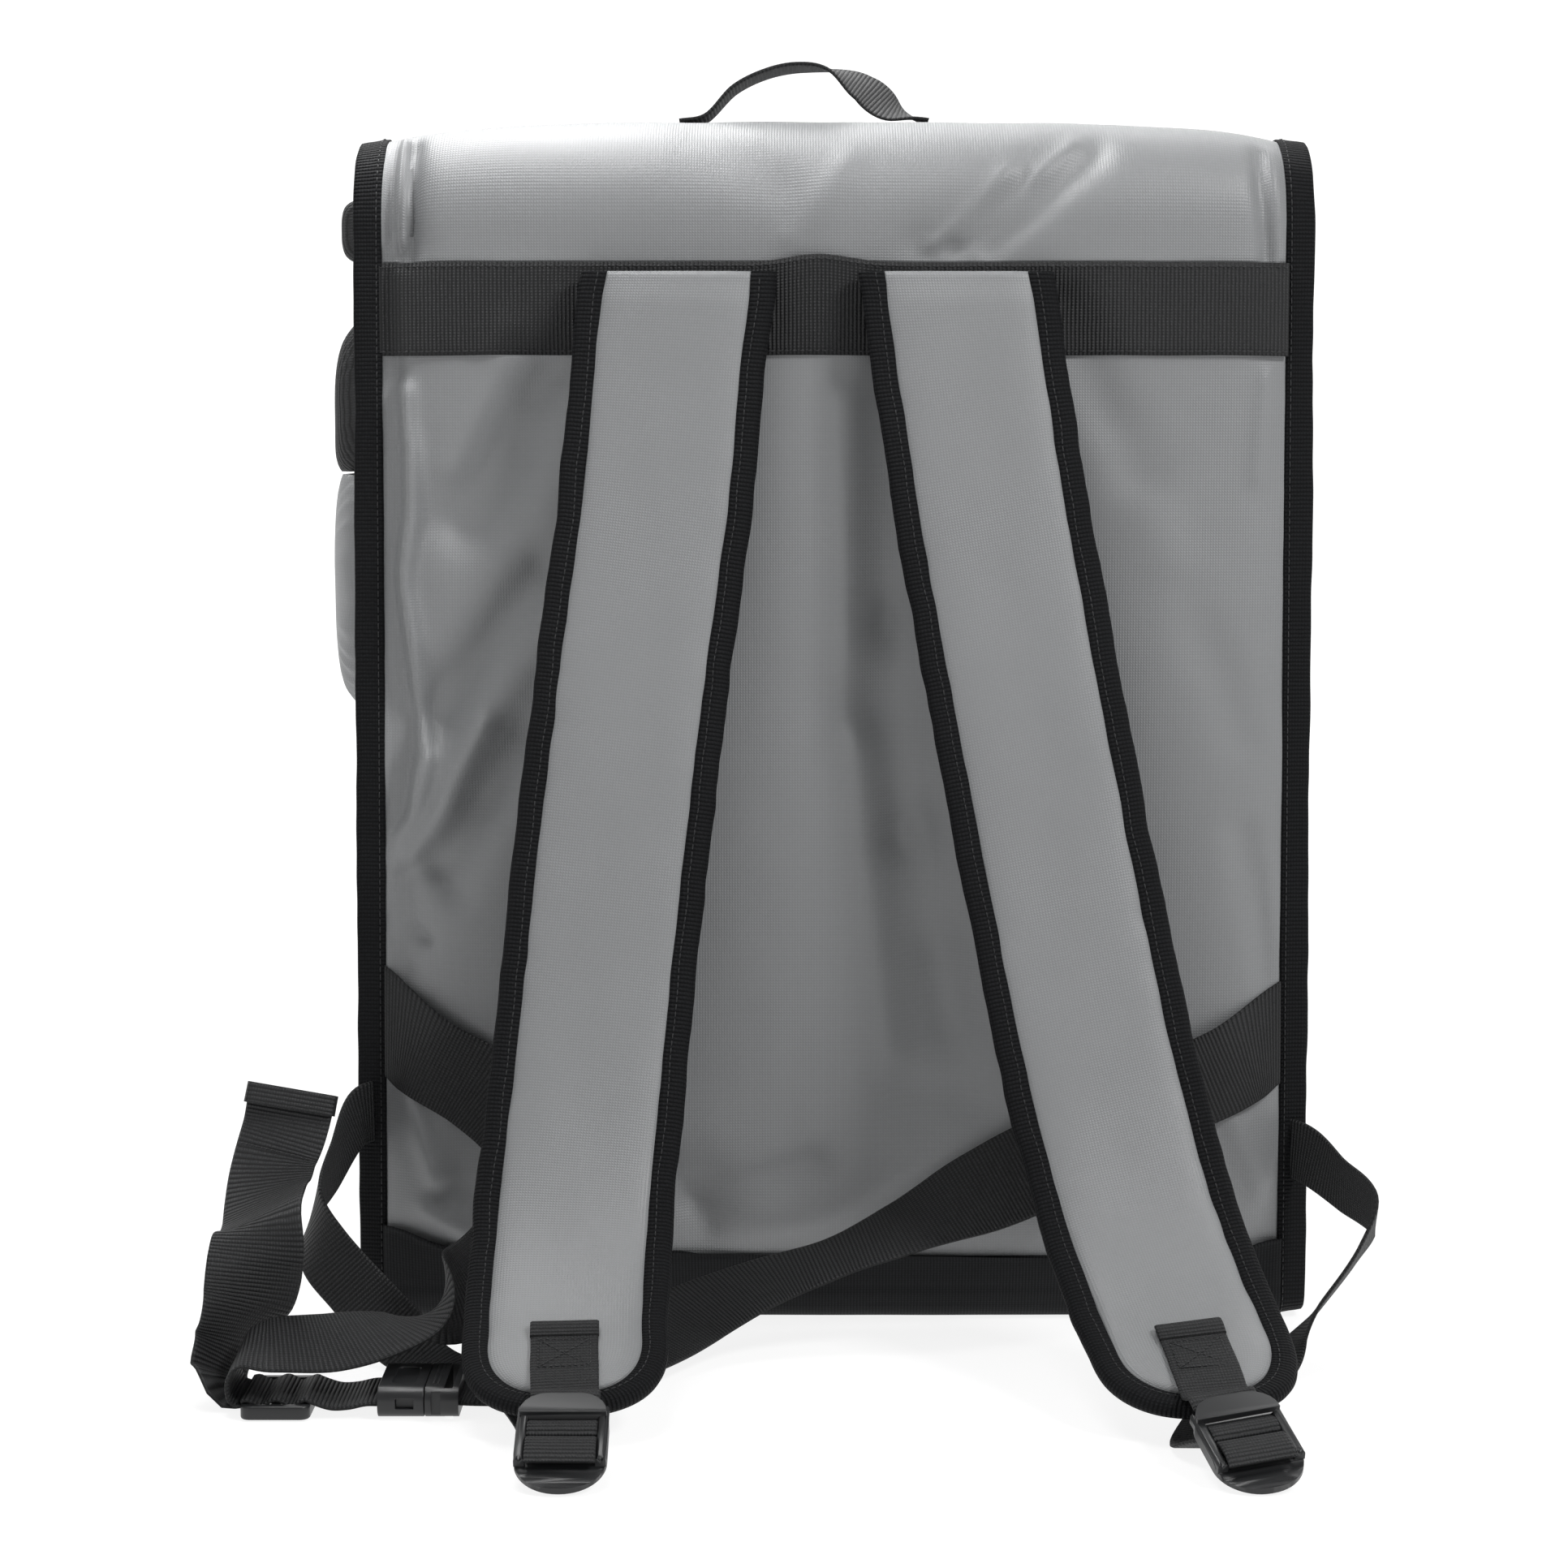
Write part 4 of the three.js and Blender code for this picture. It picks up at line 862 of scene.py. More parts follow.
# Finer folds that only the looks show. Same columns as BACK_FOLDS.
FINE_FOLDS = [
    (-0.94, 0.79, -0.938, 0.765, -0.928, 0.74, -0.926, 0.684, -0.943, 0.645, -0.944, 0.626, -0.922,
     0.575, -0.898, 0.486, -0.925, 0.44, -0.985, 0.402, 0.0115, 0.6),
    (-0.988, 0.9, -0.982, 0.83, -0.975, 0.765, -0.972, 0.7, -0.99, 0.64, -0.972, 0.575, -0.948, 0.486,
     -0.968, 0.44, 0.0125, -1.25), (-0.975, 0.395, -0.93, 0.402, -0.86, 0.44, -0.77, 0.51, 0.014, 0.45),
    (-0.98, 0.345, -0.9, 0.33, 0.010, -0.4), (-0.9, 0.4, -0.83, 0.37, 0.016, -0.25),
    (-0.7, 0.84, -0.84, 0.73, 0.02, 0.2), (-0.62, 0.8, -0.8, 0.68, 0.034, -0.6),
    (-0.6, 0.73, -0.88, 0.58, 0.026, 0.12), (-0.64, 0.64, -0.87, 0.52, 0.026, -0.6),
    (-0.6, 0.59, -0.86, 0.47, 0.024, 0.2), (-0.68, 0.5, -0.84, 0.4, 0.028, -0.5),
    (-0.9, 0.27, -0.72, 0.2, 0.02, -0.2), (-0.95, 0.21, -0.88, 0.13, 0.013, 0.35),
    (-0.9, 0.1, -0.78, 0.075, 0.014, 0.3), (-0.8, 0.22, -0.82, 0.12, 0.02, -0.3),
    (-0.52, 0.2, -0.3, 0.13, 0.03, -0.3), (-0.3, 0.11, -0.05, 0.14, 0.022, -0.28),
    (0.24, 0.32, 0.3, 0.2, 0.03, -0.2), (0.12, 0.84, 0.13, 0.6, 0.035, -0.42),
    (0.15, 0.6, 0.17, 0.42, 0.035, -0.5), (0.19, 0.42, 0.26, 0.26, 0.035, -0.4),
    (0.02, 0.78, 0.03, 0.5, 0.02, 0.28), (0.05, 0.5, 0.12, 0.24, 0.02, 0.3),
    (-0.44, 0.24, -0.34, 0.13, 0.025, 0.3), (-0.42, 0.16, -0.28, 0.09, 0.02, -0.4),
    (0.5, 0.86, 0.66, 0.72, 0.03, -0.3), (0.62, 0.74, 0.78, 0.62, 0.03, 0.14),
    (0.78, 0.62, 0.9, 0.5, 0.026, -0.16), (0.9, 0.42, 0.97, 0.3, 0.02, -0.2),
    (0.86, 0.2, 0.95, 0.12, 0.016, 0.22), (0.95, 0.8, 0.93, 0.72, 0.012, 0.16),
    (0.53, 0.98, 0.28, 0.915, 0.007, 0.24), (0.58, 0.975, 0.34, 0.905, 0.011, -0.2),
    (0.38, 0.96, 0.21, 0.91, 0.007, 0.24), (0.42, 0.955, 0.26, 0.905, 0.008, -0.22),
    (0.03, 0.965, -0.09, 0.915, 0.014, 0.16), (-0.3, 0.99, -0.12, 0.955, 0.025, -0.22),
    (-0.972, 0.995, -0.966, 0.9, 0.006, -1.1), (-0.95, 0.99, -0.945, 0.91, 0.006, 0.7),
    (-0.925, 0.985, -0.93, 0.9, 0.007, -0.7), (0.97, 0.98, 0.985, 0.9, 0.010, 0.3),
    (0.93, 0.975, 0.95, 0.9, 0.010, -0.3),
]
ALL_FOLDS = BACK_FOLDS + FINE_FOLDS
GRID_STEP = 2.6 * MM
# Height of the line sewn along the base cover, and how far it draws the cloth in
SEWN_LINE, SEWN_WIDE = 14.5 * MM, 1.6 * MM


# The soft pieces of the bag

def soften(piece, seed, broad, low, high=1):
    """Small unevenness of stuffed cloth along its own outward direction, between two heights."""
    mesh = piece.data
    moves = []
    for vertex in mesh.vertices:
        push = broad * noise.noise(vertex.co * 22 + Vector((seed, 0, 0)))
        push += 0.12 * MM * noise.noise(vertex.co * 75 + Vector((0, seed, 0)))
        moves.append(vertex.normal * push)
    for vertex, move in zip(mesh.vertices, moves):
        vertex.co += move
    keep_inside(piece, low, high)


def keep_inside(piece, low, high=1):
    """Keeps a piece between two heights."""
    for vertex in piece.data.vertices:
        vertex.co.z = min(max(vertex.co.z, low), high)
    piece.data.update()


class BACKPACK_OT_body(bpy.types.Operator):
    """Padded box of the bag, open at the rim under its lid"""

    bl_idname = "backpack.body"
    bl_label = "Padded body"
    bl_options = {"REGISTER", "UNDO"}

    def execute(self, context):
        bag = context.scene.backpack_bag
        body = loft("bag_body", *bag_grid(bag, GRID_STEP, ALL_FOLDS), "grey tarp")
        cut_off(body, bag.rim, 1)
        soften(body, 3, 0.5 * MM, bag.floor_gap, bag.rim)
        thicken(body, bag.wall)
        settle(body, "grey_tarp", "body_shell")
        deselect()
        return {"FINISHED"}


class BACKPACK_OT_lid(bpy.types.Operator):
    """Rolled lid with the flap that hangs over the front"""

    bl_idname = "backpack.lid"
    bl_label = "Rolled lid"
    bl_options = {"REGISTER", "UNDO"}

    def execute(self, context):
        bag = context.scene.backpack_bag
        low = bag.rim + bag.fit
        lid = loft("bag_lid", *bag_grid(bag, GRID_STEP, ALL_FOLDS), "grey tarp")
        cut_off(lid, low, -1)
        soften(lid, 9, 0.7 * MM, low)
        thicken(lid, bag.wall)
        settle(lid, "grey_tarp", "lid")
        self.front_flap(bag, low)
        deselect()
        return {"FINISHED"}

    def front_flap(self, bag, low):
        """A sheet with rounded lower corners, sewn to the lid's front."""
        half, drop, thick, corner = 165 * MM, 120 * MM, 2.2 * MM, 26 * MM
        top = low + bag.back_roll / 2 - 4 * MM
        foot = bag.rim - drop
        rings, flat = [], []
        for down in np.linspace(0, 1, 35):
            z = top + (foot - top) * down
            narrow = corner * max(down - 0.8, 0) ** 2 / 0.04
            ring = []
            for share in np.linspace(-1, 1, 67):
                x = share * (half - narrow)
                swell = bag.front_pillow * (1 - abs(x / (bag.width / 2)) ** FULL)
                wave = 1.2 * MM * down**2 * (0.5 + 0.5 * math.sin(share * 9))
                ring.append((x, bag.depth / 2 + swell + thick + bag.fit * 2.5 + wave, z))
            rings.append(ring)
            flat.append([(x, top - z) for x, _, _ in ring])
        flap = loft("front_flap", rings, flat, "grey tarp", round_ring=False)
        settle(thicken(flap, thick, (0, 1, 0)), "grey_tarp", "lid")


# Section of the folded seam tape: shares of its width from the seam, and of half its thickness
SEAM_SECTION = [
    (-0.3, 1.5), (-0.28, 2.1), (0, 2.0), (0.35, 1.5), (0.7, 1.15), (0.93, 0.8), (1, 0),
    (0.93, -0.8), (0.7, -1.08), (0.35, -1.12), (0, -1), (-0.2, -0.4),
]


class BACKPACK_OT_seam_tapes(bpy.types.Operator):
    """Ribbed tapes folded over the seams round both side panels"""

    bl_idname = "backpack.seam_tapes"
    bl_label = "Seam tapes"
    bl_options = {"REGISTER", "UNDO"}

    def execute(self, context):
        bag = context.scene.backpack_bag
        half = bag.tape_thick / 2
        outline = Outline(bag, -half, 3 * MM)
        runs = section_runs(SEAM_SECTION, bag.tape, half)
        long_wave, short_wave, uneven, lap = 0.9 * MM, 0.35 * MM, 0.5 * MM, 1 * MM
        for name, side in (("left", -1), ("right", 1)):
            rings, flat, path, outs = [], [], [], []
            for y, z, ny, nz, s in zip(outline.y, outline.z, outline.ny, outline.nz, outline.run_length):
                seam = half_width(bag, z)
                wave = long_wave * ripple(side * 3, s * 16) + short_wave * ripple(side * 5, s * 70)
                stand = uneven * ripple(side * 7, s * 22)
                ring = []
                for a, b in SEAM_SECTION:
                    reach = a * (bag.tape + 0.6 * MM) + wave * (a if a > 0 else -0.6)
                    away = b * half + stand * max(0.4 + a, 0)
                    x = side * (seam + lap + reach)
                    ring.append((x, y + ny * away, max(z + nz * away, bag.floor_gap / 2)))
                rings.append(ring)
                flat.append([(s, run) for run in runs])
                path.append((side * (seam + 0.6 * MM), y + ny * half * 2.1, z + nz * half * 2.1))
                outs.append((0, ny, nz))
            tape = loft(f"seam_tape_{name}", rings, flat, "black tape", closed=True)
            settle(tape, "black_tape", f"side_binding_{name}")
            settle(stitch_row(f"seam_stitches_{name}", path, outs, 3.4 * MM, 0.26 * MM), "black_tape")
        deselect()
        return {"FINISHED"}


def stitch_row(name, path, outs, pitch=2.4 * MM, radius=0.24 * MM):
    """A row of short thread loops that stand out of the cloth a little, as one piece."""
    path, outs = np.asarray(path, dtype=float), unit(np.asarray(outs, dtype=float))
    run = measured(path)
    sides, reach, end_lift, end_thick = 5, 0.36 * pitch, -0.2, 0.7
    verts, faces = [], []
    for i in range(int(run[-1] / pitch)):
        s = (i + 0.5) * pitch
        ends = at_lengths(path, run, np.array([s - reach, s, s + reach]))
        out = unit(at_lengths(outs, run, np.array([s])))[0]
        side = np.cross(unit(ends[2] - ends[0]), out)
        base = len(verts)
        for place, lift, thick in zip(ends, (end_lift, 1, end_lift), (end_thick, 1, end_thick)):
            for turn in range(sides):
                angle = 2 * math.pi * turn / sides
                round_out = side * math.cos(angle) + out * math.sin(angle)
                verts.append(place + out * radius * lift + round_out * radius * thick)
        for start in (base, base + sides):
            for turn in range(sides):
                a, b = start + turn, start + (turn + 1) % sides
                faces.append((a, b, b + sides, a + sides))
        faces.append(tuple(range(base, base + sides))[::-1])
        faces.append(tuple(range(base + 2 * sides, base + 3 * sides)))
    stitches = new_piece(name, verts, faces, "black thread")
    face_out(stitches)
    return stitches


class BACKPACK_OT_base_cover(bpy.types.Operator):
    """Black cover over the bottom edge, with a ribbed border and a sewn line"""

    bl_idname = "backpack.base_cover"
    bl_label = "Base cover"
    bl_options = {"REGISTER", "UNDO"}

    def execute(self, context):
        bag = context.scene.backpack_bag
        outline = Outline(bag, bag.fit, 2.4 * MM)
        count = len(outline.y)
        under = np.isin(outline.kind, ["base", "foot"]) | (outline.z < bag.cover_height + 14 * MM)
        order = sorted(np.where(under)[0], key=lambda i: (i + count // 2) % count)
        end = bag.width / 2 + bag.flare - bag.fit
        rings, flat = [], []
        for share in np.linspace(-1, 1, 121):
            x = share * end
            swell = outline.swell(bag, share * 0.995, BACK_FOLDS)
            ring = [self.point(bag, outline, i, x, swell[i]) for i in order]
            rings.append(ring)
            flat.append([(x, run) for run in measured(np.array(ring))])
        cover = loft("base_cover_cloth", rings, flat, "black cover", round_ring=False)
        thicken(cover, bag.cover_thick * 0.8, (0, 0, -1))
        keep_inside(cover, 0)
        settle(cover, "black_cloth", "base_cover")
        deselect()
        return {"FINISHED"}

    def point(self, bag, outline, i, x, out):
        """Where the outline's place i lies on the cover, drawn in along the sewn line."""
        top = cover_edge(bag, x) if outline.y[i] < 0 else bag.cover_height
        z = min(outline.z[i] + outline.nz[i] * out, top)
        if outline.z[i] > top:
            out = min(out, 1.1 * bag.back_pillow * top / (bag.cover_height * SETTLE))
        sewn, wave = 1, 0
        if outline.kind[i] != "base":
            sewn = 1 - 0.75 * math.exp(-((z - SEWN_LINE) / SEWN_WIDE) ** 2)
            wave = 0.45 * MM * ripple(4, x * 30, z * 60)
        away = out + bag.cover_thick * (0.62 + 0.38 * sewn) + wave
        z += min(outline.nz[i], 0) * (bag.cover_thick + wave * 0.3)
        return x, outline.y[i] + outline.ny[i] * away, max(z, 0.0)


def cover_edge(bag, x):
    """Height of the cover's upper edge on the strap side: lower towards the right, up at both ends."""
    share = x / (bag.width / 2)
    rise = 7 * MM * smooth(abs(share), 0.86, 1.0)
    return bag.cover_height - 3.2 * MM * (share + 0.35) * 0.9 + rise - 1.2 * MM


class BACKPACK_OT_top_band(bpy.types.Operator):
    """Ribbed webbing band across the strap side, bowed between the straps"""

    bl_idname = "backpack.top_band"
    bl_label = "Top band"
    bl_options = {"REGISTER", "UNDO"}

    def execute(self, context):
        bag = context.scene.backpack_bag
        rows, thick, margin, lie = 22, 1.4 * MM, 2.2 * MM, 1.6 * MM
        bow_middle, bow_wide, bow_high, bow_out = -7 * MM, 17 * MM, 3.2 * MM, 2.4 * MM
        end = bag.width / 2 - 0.2 * MM
        rings, flat = [], []
        for x in np.linspace(-end, end, 191):
            bow = math.exp(-((x - bow_middle) / bow_wide) ** 2)
            top = bag.rim + 0.4 * MM + bow_high * bow + 0.3 * MM * ripple(2, x * 40)
            foot = bag.rim - bag.band + 0.5 * MM * ripple(6, x * 25)
            ring, places = [], []
            for share in np.linspace(0, 1, rows + 1):
                z = top + (foot - top) * share
                edge = math.exp(-(min(share, 1 - share) / 0.05) ** 2)
                away = panel_swell(bag, x * 0.985, min(z, bag.rim), ALL_FOLDS) + lie
                away += bow_out * bow * (1 - share) - 0.5 * MM * edge + 0.35 * MM * ripple(8, x * 45, z * 45)
                ring.append((x, -(bag.depth / 2 + away), z))
                places.append((x, share * bag.band))
            rings.append(ring)
            flat.append(places)
        band = loft("top_band_webbing", rings, flat, "black webbing", round_ring=False)
        settle(thicken(band, thick, (0, -1, 0)), "black_webbing", "top_band")
        for label, height in (("upper", margin), ("lower", bag.band - margin)):
            path = np.array(rings)[:, round(rows * height / bag.band)] + (0, -0.1 * MM, 0)
            line = stitch_row(f"band_stitches_{label}", path, [(0, -1, 0)] * len(path), 3.2 * MM)
            settle(line, "black_webbing")
        deselect()
        return {"FINISHED"}


class BACKPACK_OT_handle(bpy.types.Operator):
    """Carry handle: webbing that rises from the lid and twists at its top"""

    bl_idname = "backpack.handle"
    bl_label = "Carry handle"
    bl_options = {"REGISTER", "UNDO"}

    def execute(self, context):
        bag, _, webbing, _ = sizes()
        y = -bag.depth / 2 + bag.back_roll * 1.35
        points = []
        for across, rise, *_ in HANDLE:
            top = bag.height + bag.crown * (1 - abs(across) ** 4)
            lie = bag.fit * 1.5 + webbing.thick / 2 + rise * webbing.rise
            points.append((across * bag.width / 2, y, top + lie))
        route = Route(points, [(wx, wy, 0) for *_, wx, wy in HANDLE], 1.6 * MM)
        handle = webbing_piece("handle_webbing", route, webbing.handle, 11, 0.3 * MM)
        settle(handle, "black_webbing", "carry_handle")
        deselect()
        return {"FINISHED"}


# The shoulder straps, with what is sewn on them and hangs from them

# Section of a strap's tape: shares of its width from the pad, and of its roll
TAPE_SECTION = [
    (0, 0.82), (0.12, 1), (0.4, 1.05), (0.7, 1), (0.9, 0.72), (1, 0.25),
    (1, -0.25), (0.9, -0.72), (0.7, -1), (0.35, -1.05), (0, -0.9), (0, 0),
]
# Rows of a strap's rounded end, as shares of its length
END_ROWS = (0.1, 0.2, 0.3, 0.4, 0.5, 0.6, 0.69, 0.77, 0.84, 0.9, 0.94, 0.97, 0.99)
END_STEPS = 44


class BACKPACK_OT_shoulder_straps(bpy.types.Operator):
    """Padded straps with their grey faces and the ribbed tape sewn round them"""

    bl_idname = "backpack.shoulder_straps"
    bl_label = "Shoulder straps"
    bl_options = {"REGISTER", "UNDO"}

    def execute(self, context):
        strap = context.scene.backpack_strap
        for name, seed in (("left", 2), ("right", 6)):
            surface = StrapSurface(name)
            body = surface.length - strap.tape - strap.soft_fit - strap.end
            self.pad(name, surface, strap, body, seed)
            self.binding(name, surface, strap, body, seed)
        deselect()
        return {"FINISHED"}

    def pad(self, name, surface, strap, body, seed):
        """The foam pad, with puckers along its tape and broad swells."""
        half_pad = strap.width / 2 - strap.tape - strap.soft_fit
        pucker, swell, uneven = 0.9 * MM, 0.75 * MM, 0.5 * MM
        back_cloth = 0.2  # where the back lies on the flat cloth, beside the front
        stations = [*np.linspace(0, body, round(body / GRID_STEP)), *(body + strap.end * k for k in END_ROWS)]
        across = np.sin(np.linspace(-1, 1, 29) * math.pi / 2)
        rings, flat = [], []
        for s in stations:
            round_off = end_share((s - body) / strap.end)
            start = smooth(s, 0, 14 * MM)
            half = half_pad * round_off
            thick = strap.thick / 2 * (0.62 + 0.38 * round_off) * (0.72 + 0.28 * start)
            ring, places = [], []
            for side, u in [(1, u) for u in across] + [(-1, u) for u in across[::-1]]:
                h = thick * (0.3 + 0.7 * (1 - abs(u) ** 5) ** 0.5)
                if side > 0:
                    near = math.exp(-((1 - abs(u)) / 0.2) ** 2)
                    pleats = math.sin(s * 190 + u * 3 + 2.5 * ripple(seed, s * 14))
                    h += pucker * near * pleats * ripple(seed + 1, s * 30, u)
                    h += swell * ripple(seed + 2, s * 19, u * 1.3) * (1 - abs(u) ** 3)
                edge = uneven * ripple(seed + 3 + u, s * 42)
                ring.append(surface.at(s, u * (half + edge * abs(u) ** 6), side * h))
                places.append((s, u * half_pad + (0 if side > 0 else back_cloth)))
            rings.append(ring)
            flat.append(places)
        pad = loft(f"strap_pad_{name}", rings, flat, "grey strap")
        settle(pad, "grey_strap", f"shoulder_strap_{name}")

    def binding(self, name, surface, strap, body, seed):
        """The tape down one side, round the end and up the other side, with its stitches."""
        inner = strap.width / 2 - strap.tape
        long_wave, short_wave, uneven, lap = 1.5 * MM, 0.7 * MM, 0.3 * MM, 2 * MM
        steps = round(body / (2.4 * MM))
        path = [(-1, body * i / steps, 0) for i in range(steps + 1)]
        path += [(0, body, math.pi * i / END_STEPS) for i in range(1, END_STEPS)]
        path += [(1, body * i / steps, 0) for i in range(steps, -1, -1)]
        rings = []
        for side, s, turn in path:
            key = (s if side <= 0 else s + 3) * 30
            wave = long_wave * ripple(seed + 11, key) + short_wave * ripple(seed + 13, key * 3.1)
            ring = []
            for out, h in TAPE_SECTION:
                wide = inner + out * strap.tape + wave * 0.7 - lap * (1 - out) ** 2
                high = h * strap.roll + uneven * ripple(seed + 17, key * 1.7, out)
                if side:
                    ring.append(surface.at(s, side * wide, high))
                    continue
                c, power = math.cos(turn), 2 / END_POWER
                u = -math.copysign(abs(c) ** power, c) * wide
                ahead = math.sin(turn) ** power * (strap.end + strap.soft_fit + out * strap.tape)
                ring.append(surface.at(body + ahead, u, high))
            rings.append(ring)
        rings = np.array(rings)
        across = section_runs(TAPE_SECTION, strap.tape, strap.roll)
        flat = [[(run, w) for w in across] for run in measured(rings[:, 3])]
        tape = loft(f"strap_tape_{name}", rings, flat, "black tape")
        settle(tape, "black_tape", f"strap_binding_{name}")
        line = rings[:, 1] * 0.35 + rings[:, 2] * 0.65
        stitches = stitch_row(f"strap_stitches_{name}", line, rings[:, 2] - rings[:, 9], 3 * MM)
        settle(stitches, "black_tape")


class BACKPACK_OT_strap_tabs(bpy.types.Operator):
    """Webbing tabs sewn on the straps' lower ends with a box of stitches"""

    bl_idname = "backpack.strap_tabs"
    bl_label = "Strap tabs"
    bl_options = {"REGISTER", "UNDO"}

    def execute(self, context):
        _, strap, webbing, _ = sizes()
        lie = strap.thick / 2 + 0.3 * MM + webbing.thick / 2
        for name in STRAPS:
            surface = StrapSurface(name)
            start = surface.length - strap.tab
            points = [surface.at(start + strap.tab * 0.92 * i / 5, 0, lie) for i in range(6)]
            points += [surface.lock @ Vector(place) for place in ((0, 5.6 * MM, 0.6 * MM), (0, 0.5 * MM, 0))]
            across = surface.frame(start)[2]
            widths = [across] * 6 + [surface.lock.to_3x3() @ Vector((1, 0, 0))] * 2
            tab = webbing_piece("tab", Route(points, widths, 1.2 * MM), webbing.strap, 21, 0.25 * MM)
            points = []
            for k in range(6):
                high = lie + webbing.thick * (0.55 + 0.3 * math.sin(k * 0.9))
                points.append(surface.at(start + (1.6 * k - 1.2) * MM, 0, high))
            fold = Route(points, [across] * 6, 1 * MM)
            cuff = webbing_piece("cuff", fold, webbing.strap * 1.02, 22, 0.15 * MM)
            settle(join([tab, cuff], f"strap_tab_webbing_{name}"), "black_webbing", f"strap_tab_{name}")
            self.box_of_stitches(name, surface, start, lie + webbing.thick / 2, webbing.strap / 2 - 3 * MM)
        deselect()
        return {"FINISHED"}

    def box_of_stitches(self, name, surface, start, high, half):
        """A sewn box with its two diagonals."""
        near, far = start + 9 * MM, start + 26 * MM
        ends = [(near, -1), (near, 1), (far, 1), (far, -1), (near, -1), (far, 1), (far, -1), (near, 1)]
        corners = np.array(ends) * (1, half)
        line = [a + (b - a) * share for a, b in zip(corners, corners[1:]) for share in np.arange(12) / 12]
        line.append(corners[-1])
        path = [surface.at(s, u, high + 0.1 * MM) for s, u in line]
        outs = [surface.frame(s)[3] for s, _ in line]
        settle(stitch_row(f"tab_stitches_{name}", path, outs), "black_webbing")


# Makers of moulded pieces

def add_box(name, low, high):
    """A box between two corners, as a mesh in place."""
    deselect()
    bpy.ops.mesh.primitive_cube_add(size=1, location=[(a + b) / 2 for a, b in zip(low, high)])
    box = bpy.context.object
    box.name = name
    box.scale = [b - a for a, b in zip(low, high)]
    bpy.ops.object.transform_apply(location=True, rotation=True, scale=True)
    return box


def add_bar(name, radius, start, end, sides):
    """A round bar between two points, as a mesh in place."""
    deselect()
    a, b = Vector(start), Vector(end)
    bpy.ops.mesh.primitive_cylinder_add(
        vertices=sides, radius=radius, depth=(b - a).length, location=(a + b) / 2
    )
    bar = bpy.context.object
    bar.name = name
    bar.rotation_euler = (b - a).to_track_quat("Z", "Y").to_euler()
    bpy.ops.object.transform_apply(location=True, rotation=True, scale=True)
    return bar


def moved(place, x, y, z):
    """A place moved by millimetres."""
    return place[0] + x * MM, place[1] + y * MM, place[2] + z * MM


def round_edges(piece, axis, radius, segments, chooser=lambda middle: True):
    """Bevels the edges along an axis for whose middle chooser says yes."""
    choose(piece)
    bpy.ops.object.mode_set(mode="EDIT")
    bpy.ops.mesh.select_mode(type="EDGE")
    bpy.ops.mesh.select_all(action="DESELECT")
    mesh = bmesh.from_edit_mesh(piece.data)
    for edge in mesh.edges:
        a, b = (v.co for v in edge.verts)
        if abs((b - a).normalized()["xyz".index(axis)]) > 0.9 and chooser((a + b) / 2):
            edge.select_set(True)
    bmesh.update_edit_mesh(piece.data)
    bpy.ops.mesh.bevel(offset=radius, segments=segments, affect="EDGES")
    bpy.ops.object.mode_set(mode="OBJECT")
    return piece


def cut_with(piece, cutters, operation="DIFFERENCE"):
    for cutter in cutters:
        finish_with(piece, "BOOLEAN", object=cutter, operation=operation, solver="EXACT")
        bpy.data.objects.remove(cutter)


def moulded(piece, node_name, width, segments=2, angle=35, place=None):
    """Softens every sharp edge of a plastic piece, shades it, moves it into place and settles it."""
    bevel(piece, width, segments, angle)
    choose(piece)
    bpy.ops.object.shade_smooth_by_angle(angle=math.radians(38))
    piece.data.materials.clear()
    piece.data.materials.append(finish("black plastic"))
    if place:
        piece.data.transform(place)
        piece.data.update()
    settle(piece, "black_plastic", node_name)


def bevel(piece, width, segments, angle):
    finish_with(
        piece, "BEVEL", width=width, segments=segments, limit_method="ANGLE", angle_limit=math.radians(angle)
    )


